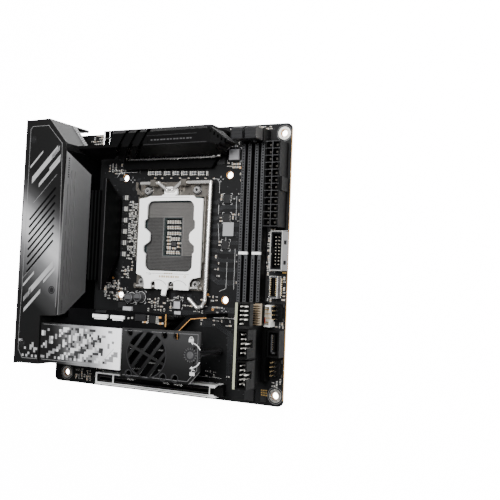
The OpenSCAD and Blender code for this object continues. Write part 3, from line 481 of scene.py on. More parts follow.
# right of the socket
for y in (124.1, 112.2, 95.2):
    scatter(122.8, 125.4, y - 3, y + 3.2, 2.4, 1.7, "td", 0.85, (0, 1), 0.2)
    scatter(131.2, 134.6, y - 3, y + 3.2, 1.8, 1.9, "tds", 0.7, (0, 1), 0.4)
SCATTERED = (
    (135.6, 140.2, 66, 142, 2.2, 4.2, "td", 0.45, (0, 1), 0.5),
    (120.6, 125, 66, 90, 2.1, 4, "td", 0.35, (0, 0, 1), 0.5),
    # below the power stages and under the lever hook
    (38, 50.2, 57, 69.5, 2.1, 1.9, "tds", 0.75, (0, 1, 1, 3), 0.4),
    (50.6, 56.4, 57, 66.5, 2.2, 2, "tds", 0.8, (0, 1, 2), 0.4),
    (72.6, 91.8, 51.4, 60.4, 2.3, 2.2, "tdd", 0.6, (0, 1, 1, 2), 0.4),
    (92.4, 99.6, 60, 62.4, 2.2, 1.6, "ts", 0.8, (1, 1), 0.6),
    (99, 128, 51.6, 58, 2.6, 2.2, "tds", 0.5, (0, 1, 2), 0.4),
    (112, 138, 44.4, 51.6, 2.7, 2.3, "td", 0.45, (0, 1), 0.4),
    (112, 127, 59.4, 64, 2.5, 2.2, "ts", 0.4, (0, 1), 0.4),
    # lower right, dark area next to the stacked drive cover
    (117, 125.5, 12.8, 17.8, 2.2, 1.8, "td", 0.7, (0, 1), 0.5),
    (136.4, 140, 22, 44, 2, 3.4, "td", 0.4, (0, 1), 0.5),
    # lower left corner and lower edge
    (17, 31, 2.2, 9.6, 2.3, 1.8, "tds", 0.62, (0, 0, 1), 0.5),
    (31, 41.4, 2, 12, 2.4, 2.1, "td", 0.5, (0, 1), 0.5),
    (132, 145, 11, 18, 2.5, 2.2, "td", 0.4, (0, 1), 0.4),
    # strip between memory slots and the right edge
    (156.7, 158.3, 80, 104, 1.6, 1.9, "td", 0.8, (0, 0, 1), 0.8),
    (156.8, 161.4, 61.6, 63.8, 1.7, 1.7, "ts", 0.8, (0, 1), 0.5),
    (156.7, 161.2, 77.6, 103, 2.1, 1.9, "tds", 0.85, (0, 1, 2), 0.4),
    (167.2, 169.4, 62, 79, 1.9, 1.9, "td", 0.75, (0, 1), 0.6),
    (163.4, 169.4, 46, 49.8, 1.9, 1.7, "ts", 0.75, (0, 1), 0.4),
    (162.4, 169.4, 11.2, 16.6, 1.9, 1.7, "tds", 0.7, (0, 1), 0.4),
    (158.6, 161.8, 104.6, 105.9, 1.6, 1.2, "t", 0.9, (0,), 0.2),
    # under the rear cover's open corner
    (21, 31, 160.6, 170, 1.9, 1.6, "tds", 0.8, (0, 1), 0.4),
    (32.6, 40, 158.4, 169, 1.9, 1.8, "tds", 0.6, (0, 1), 0.4),
    (34, 51, 141.4, 149.2, 2.2, 1.9, "tds", 0.7, (0, 1, 2), 0.4),
    # top edge between the connectors
    (141, 157, 166.2, 169.2, 1.9, 1.5, "ts", 0.75, (0, 1), 0.4),
    (62, 136, 167.2, 169.2, 2.6, 1.6, "td", 0.6, (0, 1), 0.4)
)
for row in SCATTERED:
    scatter(*row)
# underside of the board, clear of the cooler holes
under = []
for x0, x1, y0, y1, fill in ((30, 58, 70, 140, 0.35), (124, 138, 60, 150, 0.35), (20, 120, 10, 55, 0.22),
                             (120, 150, 10, 55, 0.25)):
    for j in range(int((y1 - y0) / 3.2)):
        for i in range(int((x1 - x0) / 3.4)):
            if random.random() < fill:
                x, y = x0 + (i + 0.5) * 3.4, y0 + (j + 0.5) * 3.2
                under.append((x, y, random.choice("td"), random.choice("xy")))
for x, y, kind, along in under:
    if min((x - p[0]) ** 2 + (y - p[1]) ** 2 for p in COOLER_HOLES) > 16:
        chip(x, y, 1.6, 0.85, 0.6, kind, along, UNDERSIDE_PART)
for x in (88.2, 90.9, 93.6, 96.3):
    for y in (91, 94.2, 97.4, 100.6, 103.8, 107):
        chip(x, y, 1.6, 0.85, 0.6, "t", "y", UNDERSIDE_PART)

ends.done("surface_part_ends", "tin_ends", "plated_pad")
for name, look in (("tan", "ceramic_tan"), ("dark", "resistor_dark"), ("gray", "ceramic_gray"),
                   ("slate", "slate_body")):
    BODY[name[0]].done("surface_parts_" + name, look, "chip_body")

# -------- board surface

silk = Build()
for path in ([(117.3, 137), (120.5, 137), (122.3, 134.6), (122.3, 128)], [(122.3, 120.6), (122.3, 114.6)],
             [(122.3, 109), (123.4, 98)], [(128.2, 100), (128.2, 92.4)], [(134.6, 126), (134.6, 111)],
             [(129.6, 84.8), (129.6, 68.4), (125, 66.4)], [(134.9, 93), (134.9, 68)], [(62, 142.6), (62, 146)],
             [(44, 140), (46.6, 143), (60, 143)], [(140.2, 19), (140.2, 158)], [(43, 13.2), (129, 13.2)],
             [(113, 50), (136, 50), (138.6, 47.4), (138.6, 20)], [(148.5, 158.6), (148.5, 162.6)],
             [(157.4, 106), (157.4, 157.6)], [(162, 79.4), (162, 104.6), (169.6, 104.6)],
             [(161.4, 44.8), (161.4, 29), (162.2, 28.4)]):
    silk.strip(path, 0.16, 0)
for x, y in ((123, 136.8), (128.9, 54.4), (44.7, 67.2), (56.7, 137.8)):
    for dx, dy in ((1, 0), (-1, 0), (0, 1), (0, -1)):
        silk.strip([(x + 0.8 * dx, y + 0.8 * dy), (x + 2 * dx, y + 2 * dy)], 0.2, 0)
for x, y, w, d in ((128.3, 124.1, 6.4, 7), (128.3, 112.2, 6.4, 7), (128.3, 95.2, 6.4, 7), (95.6, 57, 7, 5.8),
                   (131.9, 151.8, 9.4, 9), *((*can, 8, 8) for can in ROUND_CANS)):
    for sx in (-1, 1):
        for sy in (-1, 1):
            cx, cy = x + sx * w / 2, y + sy * d / 2
            silk.strip([(cx - sx * 1.2, cy), (cx, cy), (cx, cy - sy * 1.2)], 0.16, 0)
for x, y in ROUND_CANS:
    silk.ring((x, y, 0), 3.5, 3.7, PRINT)
silk.done("board_silk_lines", "silk_print", "board_mask")

petals, halo, rim = Build(), Build(), Build()
for hole in MOUNT_HOLES:
    for z in (0.08, -1.72):
        for x, y in arc(*hole, 3.25, [45 * i + 22.5 for i in range(8)]):
            petals.disc((x, y, z), 0.62, 0.04, 12)
    halo.ring((*hole, 0), 4.7, 4.9, PRINT, 40)
petals.done("mounting_pad_dots", "solder", "plated_pad")
halo.done("mounting_hole_lines", "silk_print_dim", "board_mask")
for holes, r in ((MOUNT_HOLES, 1.98), (COOLER_HOLES, 2.1)):
    for hole in holes:
        rim.ring((*hole, 0), r + 0.01, r + 0.34, 0.03, 32)
for x, y in ((136.2, 143.6), (117.2, 64), (44.6, 72), (140, 60), (121, 55)):
    rim.ring((x, y, 0), 0.35, 0.85, 0.04, 20)
rim.done("copper_hole_rims", "copper_rim", "plated_pad")
boxes("board_edge_core", "board_core", "board_mask", [(169.99, 170.015, 4, 166.4, -1.45, -0.15)])
vias = Build()
for _ in range(420):
    x, y = random.uniform(33, 168), random.uniform(3, 168)
    in_socket = 62 < x < 116 and 64 < y < 137
    if not in_socket and min((x - p[0]) ** 2 + (y - p[1]) ** 2 for p in MOUNT_HOLES + COOLER_HOLES) >= 40:
        vias.ring((x, y, 0), 0.12, 0.3, 0.015, 8)
vias.done("board_vias", "board_via", "plated_pad")

traces = Build()


def bundle(path, count, pitch):
    """Parallel traces that follow one path."""
    for i in range(count):
        off = (i - (count - 1) / 2) * pitch
        out = []
        for k, p in enumerate(path):
            a = Vector(path[max(k - 1, 0)])
            b = Vector(path[min(k + 1, len(path) - 1)])
            d = (b - a).normalized()
            out.append((p[0] - d.y * off, p[1] + d.x * off))
        traces.strip(out, 0.14, 0, 0.012)


for i in range(9):
    bundle([(117.6, 82 + 5 * i), (121, 82 + 5 * i), (125 + i % 2, 80 + 5.6 * i), (140, 80 + 5.6 * i)], 6, 0.42)
bundle([(117.6, 76), (124, 72), (140, 72)], 8, 0.4)
bundle([(57, 131), (60, 134), (62, 139)], 5, 0.45)
bundle([(92, 64), (92, 58), (99, 52), (112, 51.6)], 7, 0.45)
bundle([(104, 64), (104, 60), (116, 55), (138, 55)], 8, 0.45)
bundle([(44, 78), (50, 74), (50, 66), (56, 64)], 4, 0.5)
bundle([(112, 46), (124, 46), (134, 40), (134, 14)], 8, 0.5)
bundle([(45, 13), (45, 10.8)], 6, 1.2)
bundle([(17, 11), (28, 11), (34, 14)], 5, 0.5)
traces.done("board_traces", "board_trace", "board_mask")

# lids of the chokes, a blank label, chip leads and capacitor marks
boxes("choke_lid", "choke_gray", "inductor_body",
      [(129, 136.2, 148.2, 155.2, 1.1, 2.5, 0.25), (130.6, 134.6, 149.8, 153.6, 2.5, 2.55, 0.05),
       (93.5, 98.3, 54.1, 58.8, 1.5, 1.72, 0.2), (94.4, 97.4, 55, 57.9, 1.7, 1.78, 0.1),
       (93.8, 98.6, 50.4, 52.6, 0.9, 1.12, 0.15), (54.6, 61.6, 50.8, 53.6, 0, 1.75, 0.2)], bevel=0.15)
boxes("chip_label", "label_silver", "chip_body", [(126.4, 133.8, 100.9, 109.4, 1.12, 1.2)])
boxes("chip_leads", "solder", "terminal_metal",
      [(x, x + 0.5, y + 0.45 + 0.95 * i, y + 0.8 + 0.95 * i, 0, 0.35, 0.03)
       for y in (121.5, 109.6, 92.6) for i in range(5) for x in (125.5, 130.6)]
      + [(93.5 + 0.8 * i, 93.85 + 0.8 * i, y, y + 0.5, 0, 0.35, 0.03) for i in range(6) for y in (54.4, 59.1)])
caps = Build()
for x, y in ROUND_CANS:
    caps.ring((x, y, 4.97), 2.35, 2.6, 0.06)
    caps.prism(arc(x, y, 2.2, range(200, 341, 14)), 4.99, 5.04)
caps.done("capacitor_marks", "dark_gloss", "capacitor_can")

# -------- processor socket

marks = Build()
for x, y in ((83.9, 64.8), (98.9, 64.8)):
    marks.strip(arc(x, y, 7.2, range(35, 150, 9)), 0.35, PLATE_TOP)
marks.strip([(74.6, 76.1), (106.4, 76.1)], 0.25, PLATE_TOP, 0.015)
marks.strip([(76.5, 124.9), (104.5, 124.9)], 0.25, PLATE_TOP, 0.015)
marks.strip([(76.5, 75.2), (78.2, 75.2), (77.35, 76.6), (76.5, 75.2)], 0.18, PLATE_TOP)
marks.done("load_plate_marks", "etched_line", "socket_steel", body="load_plate")
stamps = Build()
for i in range(9):
    stamps.box(84.4 + 1.7 * i, 85.5 + 1.7 * i + 0.3 * (i % 2), 73.6, 74.9, PLATE_TOP, PLATE_TOP + 0.015)
for i in range(4):
    stamps.box(88.2 + 1.6 * i, 89.3 + 1.6 * i, 75.9, 76.7, PLATE_TOP, PLATE_TOP + 0.015)
stamps.ring((103.4, 74.6, PLATE_TOP), 0.5, 0.9, 0.015, 16)
stamps.done("load_plate_stamps", "stamped_tan", "socket_steel", body="load_plate")
ribs = Build()
for x in (68.1, 112.6):
    ribs.strip([(x, 79), (x, 121)], 0.6, PLATE_TOP, 0.06)
ribs.done("load_plate_ribs", "socket_steel", "socket_steel", body="load_plate")
# dark rings round the socket screws and a dark star in each screw head: painted shade
screw_shade = Build()
for x, y in ((70.4, 130), (107.2, 130), (68.7, 70.3), (108.9, 70)):
    screw_shade.ring((x, y, 0.9), 2.72, 3.3, 0.12, 32)
    screw_shade.ring((x, y, 1.38), 2.2, 2.78, 0.07, 32)
    screw_shade.star((x, y, 2.64), 0.6, 1.1, 0.04)
screw_shade.done("socket_screw_shade", "dark_gloss", "socket_steel")
boxes("socket_cavity_ribs", "socket_plastic", "socket_plastic",
      [(x, x + 0.4, 90 + 3.2 * j, 91.2 + 3.2 * j, 0.2, 4.2) for j in range(7) for x in (85.5, 97.3)])


def upper_half(x, y):
    return y > 112.4 if x < 92 else y > 87.8


# grid of sprung contacts; each half leans its own way and takes its own copy of the contact colour, lighter for
# the upper half and darker for the lower: painted reflection and painted shade
for name, look, (a, b), upper in (("socket_contacts_upper", "contact_pale", (0.06, 0.14), True),
                                  ("socket_contacts_lower", "contact_deep", (-0.06, -0.14), False)):
    field = Build()
    for j in range(48):
        for i in range(40):
            x, y = 72.4 + 0.915 * i, 78.6 + 0.92 * j
            if 84.2 < x < 99 and 86.8 < y < 112.9 or upper_half(x, y) != upper:
                continue
            foot = [(x - 0.24, y - 0.2, 2.9), (x + 0.24, y - 0.2, 2.9), (x + 0.24, y + 0.2, 2.9),
                    (x - 0.24, y + 0.2, 2.9)]
            x, y = x + a, y + b
            field.hexa(foot + [(x - 0.2, y - 0.12, 3.35), (x + 0.2, y - 0.12, 3.35), (x + 0.2, y + 0.14, 3.42),
                               (x - 0.2, y + 0.14, 3.42)])
    field.done(name, look, "socket_contact")
beds = Build()
beds.prism([(72, 78.2), (108.5, 78.2), (108.5, 87.8), (98.7, 87.8), (98.7, 87.1), (84.5, 87.1), (84.5, 112.4),
            (72, 112.4)], 2.9, 2.95)
beds.done("socket_bed_lower", "bed_dark", "socket_plastic")
boxes("socket_cavity_rim", "bed_rim", "socket_plastic",
      [(*span, 2.9, 3.6, 0.1) for span in ((84.5, 84.95, 87.1, 112.6), (98.25, 98.7, 87.1, 112.6),
                                           (84.5, 98.7, 112.15, 112.6), (84.5, 98.7, 87.1, 87.55))])

# -------- memory and card slots

rails, slits, lips = Build(), Build(), Build()
for cx in (144.1, 152.9):
    for s in (-1, 1):
        mid = cx + s * 2.05
        for y0, y1 in ((24, 89.2), (91.4, 157)):
            rails.box(mid - 1.05, mid + 1.05, y0, y1, 7.98, 8.08, 0.06)
            lips.box(cx + s * 3.3 - 0.1, cx + s * 3.3 + 0.02, y0, y1, 5.2, 8.06)
        for i in range(78):
            y = 24.9 + 1.7 * i
            if y <= 87.6 or 92.8 <= y <= 156.4:
                slits.box(mid - 0.42, mid + 0.42, y - 0.42, y + 0.42, 8.06, 8.11)
rails.done("memory_slot_rails", "slot_edge", "slot_plastic")
lips.done("memory_slot_lips", "slot_dark", "slot_plastic")
# black dots along the slot rails: painted shade in the openings
slits.done("memory_slot_slits", "void_black", "slot_plastic")
# black lines along the card slot's groove and side: painted shade
boxes("card_slot_lines", "void_black", "shell_steel",
      [(46.5, 126.2, 3.35, 3.62, 10.98, 11.02), (127.2, 130, 4.4, 8.4, 10.98, 11.02),
       (45.5, 126.4, 2.57, 2.6, 9.3, 9.9)])
contacts = Build()
for i in range(82):
    x = 46.2 + i
    if 54.6 < x < 58.2 or x > 128.4:
        continue
    for y in (5.15, 7.65):
        contacts.box(x - 0.25, x + 0.25, y - 0.2, y + 0.2, 10.2, 10.75)
contacts.done("card_slot_contacts", "bed_dark", "terminal_metal")
boxes("card_slot_shell_tabs", "shell_steel", "shell_steel",
      [(x - 1.4, x + 1.4, y, y + 0.27, 0.2, 7.6, 0.05) for x in (52, 66, 82, 98, 114, 127)
       for y in (10.18, 2.35)], bevel=0.06)

# -------- connectors

boxes("power_connector_armour", "bright_steel", "shell_steel",
      [(40.55, 40.88, 159.1, 169.3, 0.3, 13), (59.32, 59.6, 159.1, 169.3, 0.3, 13),
       (40.55, 59.6, 159.1, 159.38, 0.3, 13), (40.55, 59.6, 169.02, 169.35, 0.3, 13),
       (40.9, 59.3, 163.85, 164.55, 12.75, 12.95)]
      + [(x, x + 0.55, 159.4, 169, 12.75, 12.93) for x in (40.9, 44.95, 49.15, 53.35, 58.6)], bevel=0.08)
boxes("power_connector_catch", "connector_plastic", "connector_plastic",
      [(46.6, 48.8, 169.35, 169.9, 1, 10), (50.2, 52.4, 169.35, 169.9, 1, 10),
       (46.6, 52.4, 169.3, 169.95, 9.2, 11.4, 0.2)], bevel=0.15)
boxes("main_power_ribs", "plastic_edge", "connector_plastic",
      [(x - 0.1, x + 0.14, 107.2 + 4.2 * j, 110 + 4.2 * j, 1, 12.4) for j in range(12) for x in (158.52, 167.9)]
      + [(158.7, 167.9, 106.23 + 4.2 * j, 106.47 + 4.2 * j, 12.8, 12.86) for j in range(13)]
      + [(163.15, 163.45, 106.4, 157.2, 12.8, 12.87)])

boxes("front_usb_tongue", "connector_plastic", "connector_plastic",
      [(165.9, 166.7, 83, 101.2, 1, 8.6, 0.1), (163.3, 165, 90.6, 93.6, 1, 8.4)], bevel=0.08)
boxes("front_usb_springs", "tin_ends", "shell_steel",
      [(162.18, 162.42, 84.6, 87.2, 2.2, 7.4, 0.08), (162.18, 162.42, 97.2, 99.8, 2.2, 7.4, 0.08),
       (164.6, 167.2, 80.1, 80.38, 0.3, 6.8, 0.1), (164.6, 167.2, 103.82, 104.1, 0.3, 6.8, 0.1),
       (162.36, 162.75, 80.5, 103.7, 9, 9.5, 0.05), (169.85, 170.19, 80.5, 103.7, 9, 9.5, 0.05),
       (162.4, 170.2, 80.36, 80.7, 9, 9.5, 0.05), (162.4, 170.2, 103.5, 103.84, 9, 9.5, 0.05)], bevel=0.06)
teeth = Build()
for y in [65.6 + 1.08 * j for j in range(10)]:
    for upper, foot in ((162.35, 161.75), (166.15, 166.75)):
        teeth.box(upper - 0.5, upper + 0.5, y, y + 0.45, 6.6, 6.9)
        teeth.box(foot - 0.4, foot + 0.4, y, y + 0.4, 0, 0.25)
teeth.done("front_usb_c_contacts", "contact_gold", "terminal_metal")
shell = Build()
for z0, z1, g in ((0.3, 1.2, 0), (6.3, 7.05, 0.05)):
    shell.box(161.75 - g, 162, 64, 77.1, z0, z1)
    shell.box(166.5, 166.75 + g, 64, 77.1, z0, z1)
    shell.box(161.75, 166.75, 63.95 - g, 64.2, z0, z1)
    shell.box(161.75, 166.75, 76.9, 77.15 + g, z0, z1)
shell.done("front_usb_c_shell", "bright_steel", "shell_steel", bevel=0.05)
boxes("gold_pads", "gold_pad", "plated_pad",
      [(167, 169.6, 79, 80, 0, 0.05)]
      + [(x + 1.45 * i, x + 1.1 + 1.45 * i, y, y + 0.8, 0.4, 0.46)
         for x, y in ((155.9, 8.5), (156, 7.1), (156.1, 5.7)) for i in range(3)])
boxes("sata_tongue", "plastic_edge", "connector_plastic",
      [(164.6, 165.6, 31.6, 42.8, 2, 8.3, 0.05), (164.6, 167.2, 31.6, 32.7, 2, 8.3, 0.05)], bevel=0.06)
boxes("header_pins", "contact_gold", "terminal_metal",
      [(165.6, 165.72, 34.2 + 1.27 * i, 34.7 + 1.27 * i, 2, 8.1) for i in range(7)]
      + [(x, x + 0.65, y + 2.54 * i, y + 0.65 + 2.54 * i, z0, z1, 0.06)
         for x, y, z0, z1 in ((165, 51.4, 1.2, 9.6), (165, 18.6, 1.2, 9.6), (160.6, 49.3, 1.4, 9.4))
         for i in range(4)])

boxes("front_connector_liners", "liner_black", "connector_plastic",
      [(*span, 1.7, 9, 0.05) for span in (
          (163.22, 163.95, 81.22, 102.98), (168.65, 169.38, 81.22, 102.98),
          (163.22, 169.38, 81.22, 82.1), (163.22, 169.38, 102.1, 102.98))]
      + [(163.9, 168.7, 82, 102.2, 2.42, 3.4), (162.55, 165.95, 64.95, 76.15, 1.25, 4.2)]
      + [(*span, 1.3, 6.5, 0.04) for span in (
          (162.52, 162.9, 64.92, 76.18), (165.6, 165.98, 64.92, 76.18), (162.52, 165.98, 64.92, 65.4),
          (162.52, 165.98, 75.7, 76.18), (163.8, 164.7, 65.9, 75.3))])
boxes("card_pin_base", "liner_black", "connector_plastic",
      [(158.52, 163.8, 48.37, 60.93, 32.57, 35.03), (158.52, 163.8, 48.37, 60.93, 34.9, 37, 0.1),
       (158.5, 160, 47.87, 60.73, 8.17, 19.03)], bevel=0.1)
boxes("fan_header_backs", "liner_black", "connector_plastic",
      [(163.78, 164.9, 51.6, 59.4, 3.2, 7.05), (163.78, 164.9, 18.8, 26.4, 3.2, 7.05)], bevel=0.1)

# front panel card
boxes("card_top_edge", "board_core_pale", "card_mask", [(157.02, 158.48, 13.9, 61.4, 41.9, 42.003)])
boxes("card_chips", "chip_body", "chip_body",
      [(155.9, 157, y - w / 2, y + w / 2, z - h / 2, z + h / 2)
       for y, z, w, h in ((52, 26, 5, 5), (38, 20, 6, 4), (26, 22, 4, 4), (20, 12, 4, 5), (44, 10, 3, 3),
                          (56, 12, 3, 4))], bevel=0.1)
card_ends = Build()
for _ in range(46):
    y, z = random.uniform(16, 59), random.uniform(9, 29)
    for y0, y1 in ((y - 0.8, y - 0.35), (y + 0.35, y + 0.8)):
        card_ends.box(156.5, 157, y0, y1, z - 0.42, z + 0.42)
card_ends.done("card_part_ends", "solder", "plated_pad")
boxes("card_header_stripe", "copper_rim", "terminal_metal", [(160.95, 161.05, 48.6, 60.7, 35, 35.03)])
boxes("card_ribbed_block", "tan_plastic", "connector_plastic",
      [(159.2, 163.2, 48.6 + 1.38 * i, 49.4 + 1.38 * i, 20.4, 24.4, 0.1) for i in range(9)]
      + [(159.4, 163, 48.4, 60.8, 19, 21)], bevel=0.1)
boxes("pump_header_mark", "red_print", "pale_connector", [(159.5, 160.3, 48.9, 52.6, 7.4, 7.52)])

# -------- stacked drive boards

def on_drive_board(name, look, slot, rows, inset=0.05, **more):
    """Boxes that stand on the drive board, each (x, y, length, width, height)."""
    z = DRIVE_BOARD_TOP
    boxes(name, look, slot, [(x, x + l, y, y + w, z, z + h, inset) for x, y, l, w, h in rows], **more)


on_drive_board("drive_board_chips", "chip_body", "chip_body",
               [(94.6, 45.9, 3.5, 4.4, 0.9), (84, 46.6, 7.6, 4, 1.2), (54, 50, 8, 1.6, 0.8)],
               inset=0, bevel=0.1)
on_drive_board("drive_board_sockets", "white_part", "card_mask",
               [(52, 46.8, 11.6, 2.2, 1.3), (53.2, 45.8, 9.2, 1, 0.6), (65.8, 46.8, 10.2, 2.2, 1.3),
                (67, 45.8, 7.8, 1, 0.6)], inset=0.1, bevel=0.1)
on_drive_board("drive_board_parts", "tin_ends", "plated_pad",
               [(92.7, 45.8 + 1.25 * i, 0.8, 0.7, 0.5) for i in range(4)]
               + [(x, 45.9 + 0.9 * i, 0.8, 0.5, 0.5) for i in range(5) for x in (98.6, 99.7)]
               + [(x, y, 1, 1.1, 0.7) for x, y in ((89.2, 45.7), (92, 45.5), (100.2, 45.4), (103, 45.6),
                                                     (78.4, 47.2), (81, 47.6))])
on_drive_board("drive_board_parts_tan", "copper_rim", "chip_body",
               [(x, y, 1.9, 1.1, 0.65) for x, y in ((90.1, 45.7), (101.1, 45.4), (100.6, 49))])
boxes("drive_board_edge", "board_core", "card_mask", [(104.78, 104.82, 44, 51.6, 28.5, 29.9)])
# dark strip beside the stacked drive cover, drawn as a flat ribbon: its black is painted shade, with a copper
# line along its outer edge
shade_ribbon, shade_ribbon_edge = Build(), Build()
outer = [(112.6, 35), (112.6, 41.4), (121.2, 49.8), (131.6, 51)]
inner = [(109.4, 35), (109.4, 42), (119.6, 52.2), (131.6, 53.4)]
for i in range(3):
    shade_ribbon.prism([outer[i], outer[i + 1], inner[i + 1], inner[i]], 27.6, 27.95)
shade_ribbon.box(130.2, 131.6, 51, 53.4, 0.1, 27.9)
shade_ribbon.done("drive_shade_ribbon", "slot_dark", "card_mask")
shade_ribbon_edge.strip(outer, 0.42, 27.9, 0.12)
shade_ribbon_edge.done("drive_shade_ribbon_edge", "copper_rim", "terminal_metal")

# -------- cover graphics and grille

KNOB = (129.2, 30)
icons = Build()
for x, y, loop, turn in ((128, 37.4, (129.6, 39.4), (0, 180)), (129.4, 18.6, (131.6, 20.9), (30, 200))):
    icons.box(x, x + 3.2, y, y + 2, DRIVE_TOP, DRIVE_TOP + 0.03)
    icons.ring((*loop, DRIVE_TOP), 0.85, 1.25, 0.03, 16, *turn)
for a0, a1 in ((28, 76), (-76, -28)):
    icons.ring((*KNOB, DRIVE_TOP), 6.9, 7.5, 0.03, 14, a0, a1)
for angle, s in ((76, 1), (-76, -1)):
    c = Vector(arc(*KNOB, 7.2, [angle])[0])
    n = Vector(arc(0, 0, 1, [angle])[0])
    t = Vector((-n.y, n.x)) * s
    icons.prism([tuple(c + n), tuple(c - n), tuple(c + 1.8 * t)], DRIVE_TOP, DRIVE_TOP + 0.03)
icons.done("cover_plate_marks", "silk_print", "vent_metal", body="drive_cover")
teeth = Build()
for i in range(16):
    n = Vector(arc(0, 0, 1, [22.5 * i])[0])
    t = Vector((-n.y, n.x))
    outline = ((3.3, -0.3), (4.25, -0.2), (4.25, 0.2), (3.3, 0.3))
    teeth.prism([tuple(Vector(KNOB) + n * q + t * w) for q, w in outline], 40.3, 41.35)
teeth.disc((*KNOB, DRIVE_TOP), 2.2, 0.35, 24, 1.9)
teeth.box(127.6, 130.8, 29.6, 30.4, 41.3, 41.5)
teeth.done("knob_teeth", "knob_edge", "knob_plastic", body="knob", bevel=0.08)
# thin black sheet under the vent plate: painted shade seen through its openings
boxes("drive_shade_sheet", "void_black", "card_mask", [(79.5, 121.5, 10.6, 35.4, 30.02, 30.5)])
boxes("drive_sink_fin_tips", "bright_steel", "heatsink_metal",
      [(x0, x1, y - 0.4, y + 0.4, 30.4, 33) for x0, x1, y in (
          (82.6, 94.2, 30), (99.8, 106.4, 30.4), (96, 102.6, 22.4), (83.2, 92.2, 18.2), (103.4, 107, 18.6),
          (81.6, 86, 11.4), (107.2, 110.2, 11.6), (114.6, 119.6, 13.4), (114.6, 119.6, 11.4))], bevel=0.05)


def lines(name, look, slot, paths, z, body="board", h=PRINT):
    """One piece made of printed strips, each (width, points)."""
    build = Build()
    for width, path in paths:
        build.strip(path, width, z, h)
    build.done(name, look, slot, body=body)


# grey line just inside the vent plate's outline: painted edge highlight
lines("vent_plate_edge_highlight", "silk_print_dim", "vent_metal",
      [(0.18, [(83.4, 14.9), (127.9, 15), (133.9, 21.8), (133.9, 42), (83.4, 41.2)])], DRIVE_TOP, "drive_cover")
rims = Build()
for y in (16, 40):
    for x in (87.6, 111.6, 119.6):
        rims.ring((x, y, DRIVE_TOP - 0.02), 1.92, 2.5, 0.05)
rims.ring((99.6, 28, DRIVE_TOP - 0.02), 13.2, 13.9, 0.06, 64)
rims.done("vent_plate_rims", "vent_edge", "vent_metal", body="drive_cover")

# -------- rear cover

lines("rear_cover_border", "silver_line", "cover_metal",
      [(0.24, [(31, 52), (31.2, 94), (30, 139.2), (29.3, 156.6), (17.5, 168.8), (4.3, 168.8), (2.7, 166.8),
               (2.9, 120), (2.7, 60), (2.2, 40), (2.4, 24), (6, 18.6), (18.4, 18.9)])], COVER_TOP)


def slant(build, x0, x1, y, h):
    """Printed band that climbs at 45 degrees, with upright ends."""
    build.prism([(x0, y), (x1, y + x1 - x0), (x1, y + x1 - x0 + h), (x0, y + h)], COVER_TOP, COVER_TOP + PRINT)


bands, hatch = Build(), Build()
for row in ((6, 26, 131, 4.4), (12, 28.4, 128.6, 2.6), (4, 14, 141, 1.6), (20, 28.6, 139.4, 1.6),
            (8.6, 27, 58.6, 4.4), (5, 18, 47.6, 2.6), (20, 28.6, 66.8, 1.8), (3.4, 12, 64, 1.8)):
    slant(bands, *row)
bands.done("rear_cover_bands", "silver_band", "cover_metal")
for s in [0.9 * i for i in range(7)]:
    slant(hatch, 21.6 + s, 22.1 + s, 146.2 + s, 3.2)
    slant(hatch, 4.4 + s, 4.9 + s, 54.4 + s, 3.2)
hatch.done("rear_cover_hatch", "silver_line", "cover_metal")
lines("rear_cover_lines", "silver_line", "cover_metal",
      [(0.2, [(2.4, 69), (24.8, 91.4)]), (0.2, [(8.2, 118.4), (26.4, 136.6)])], COVER_TOP)
SQUARE = 1.55
squares = Build()
for i in range(11):
    for j in range(8):
        x, y = 2.6 + SQUARE * i, 19.6 + SQUARE * j
        if x + SQUARE < 18.8 and random.random() < 0.34 - 0.035 * j:
            squares.box(x, x + SQUARE, y, y + SQUARE * random.choice((1, 1, 2)), COVER_TOP, COVER_TOP + PRINT)
squares.done("rear_cover_squares", "silver_band", "cover_metal")

# squares on the drive cover, dense where the fade starts
light, mid, dark = Build(), Build(), Build()
for i in range(38):
    for j in range(13):
        x, y = 20.6 + SQUARE * i, 19.9 + SQUARE * j
        run = x + 0.25 * (y - 29)
        pick = random.random()
        wave = math.sin(0.75 * i - 1.15 * j) + 0.6 * math.sin(1.9 * i + 0.7 * j + 1)
        tone = wave + 1.5 * (random.random() - 0.5)
        build = None
        if run < 40:
            if tone > 0.75 + 0.07 * (j - 6) - 0.02 * (run - 20):
                build = light if pick < 0.35 else mid
        elif run < 67:
            if tone > 0.45:
                build = light
            elif tone < -0.35:
                build = dark if pick < 0.7 else mid
        elif run < 78 and tone < -0.9 + 0.06 * (8 - j):
            build = mid
        if build:
            build.box(x, x + SQUARE + 0.01, y, y + SQUARE + 0.01, DRIVE_TOP, DRIVE_TOP + PRINT)
light.done("drive_cover_squares_light", "square_light", "drive_cover", body="drive_cover")
mid.done("drive_cover_squares_mid", "square_mid", "drive_cover", body="drive_cover")
dark.done("drive_cover_squares_dark", "dark_print", "drive_cover", body="drive_cover")
lines("drive_cover_lines", "silver_line", "drive_cover",
      [(0.2, [(21.5, 18.9), (66.4, 18.9), (76.6, 29.6)]), (0.16, [(21.5, 41), (50, 41.2)])], DRIVE_TOP,
      "drive_cover", 0.022)

shadow = Build()
u, w = (Vector(arc(0, 0, r, [a])[0]) for r, a in ((14.55, 45.8), (0.63, 135.8)))
for i in range(8):
    c = Vector((15.9, 117.7 - 4.83 * i))
    shadow.prism([tuple(c - u - w), tuple(c + u - w), tuple(c + u + w), tuple(c - u + w)], 40, 41.72)
shadow.done("rear_cover_slot_shadows", "void_black", "cover_metal")

screws, recess = Build(), Build()
for x, y in ((5.6, 160.1), (27.1, 62.7), (5.4, 27.7)):
    recess.ring((x, y, COVER_TOP - 0.02), 1.9, 2.5, 0.05)
    screws.disc((x, y, COVER_TOP - 0.3), 1.85, 0.42, 28, 1.55)
    screws.star((x, y, COVER_TOP + 0.12), 0.55, 0.95, 0.05)
recess.done("rear_cover_screw_rims", "dark_gloss", "cover_metal")
screws.done("rear_cover_screws", "black_steel", "cover_metal")

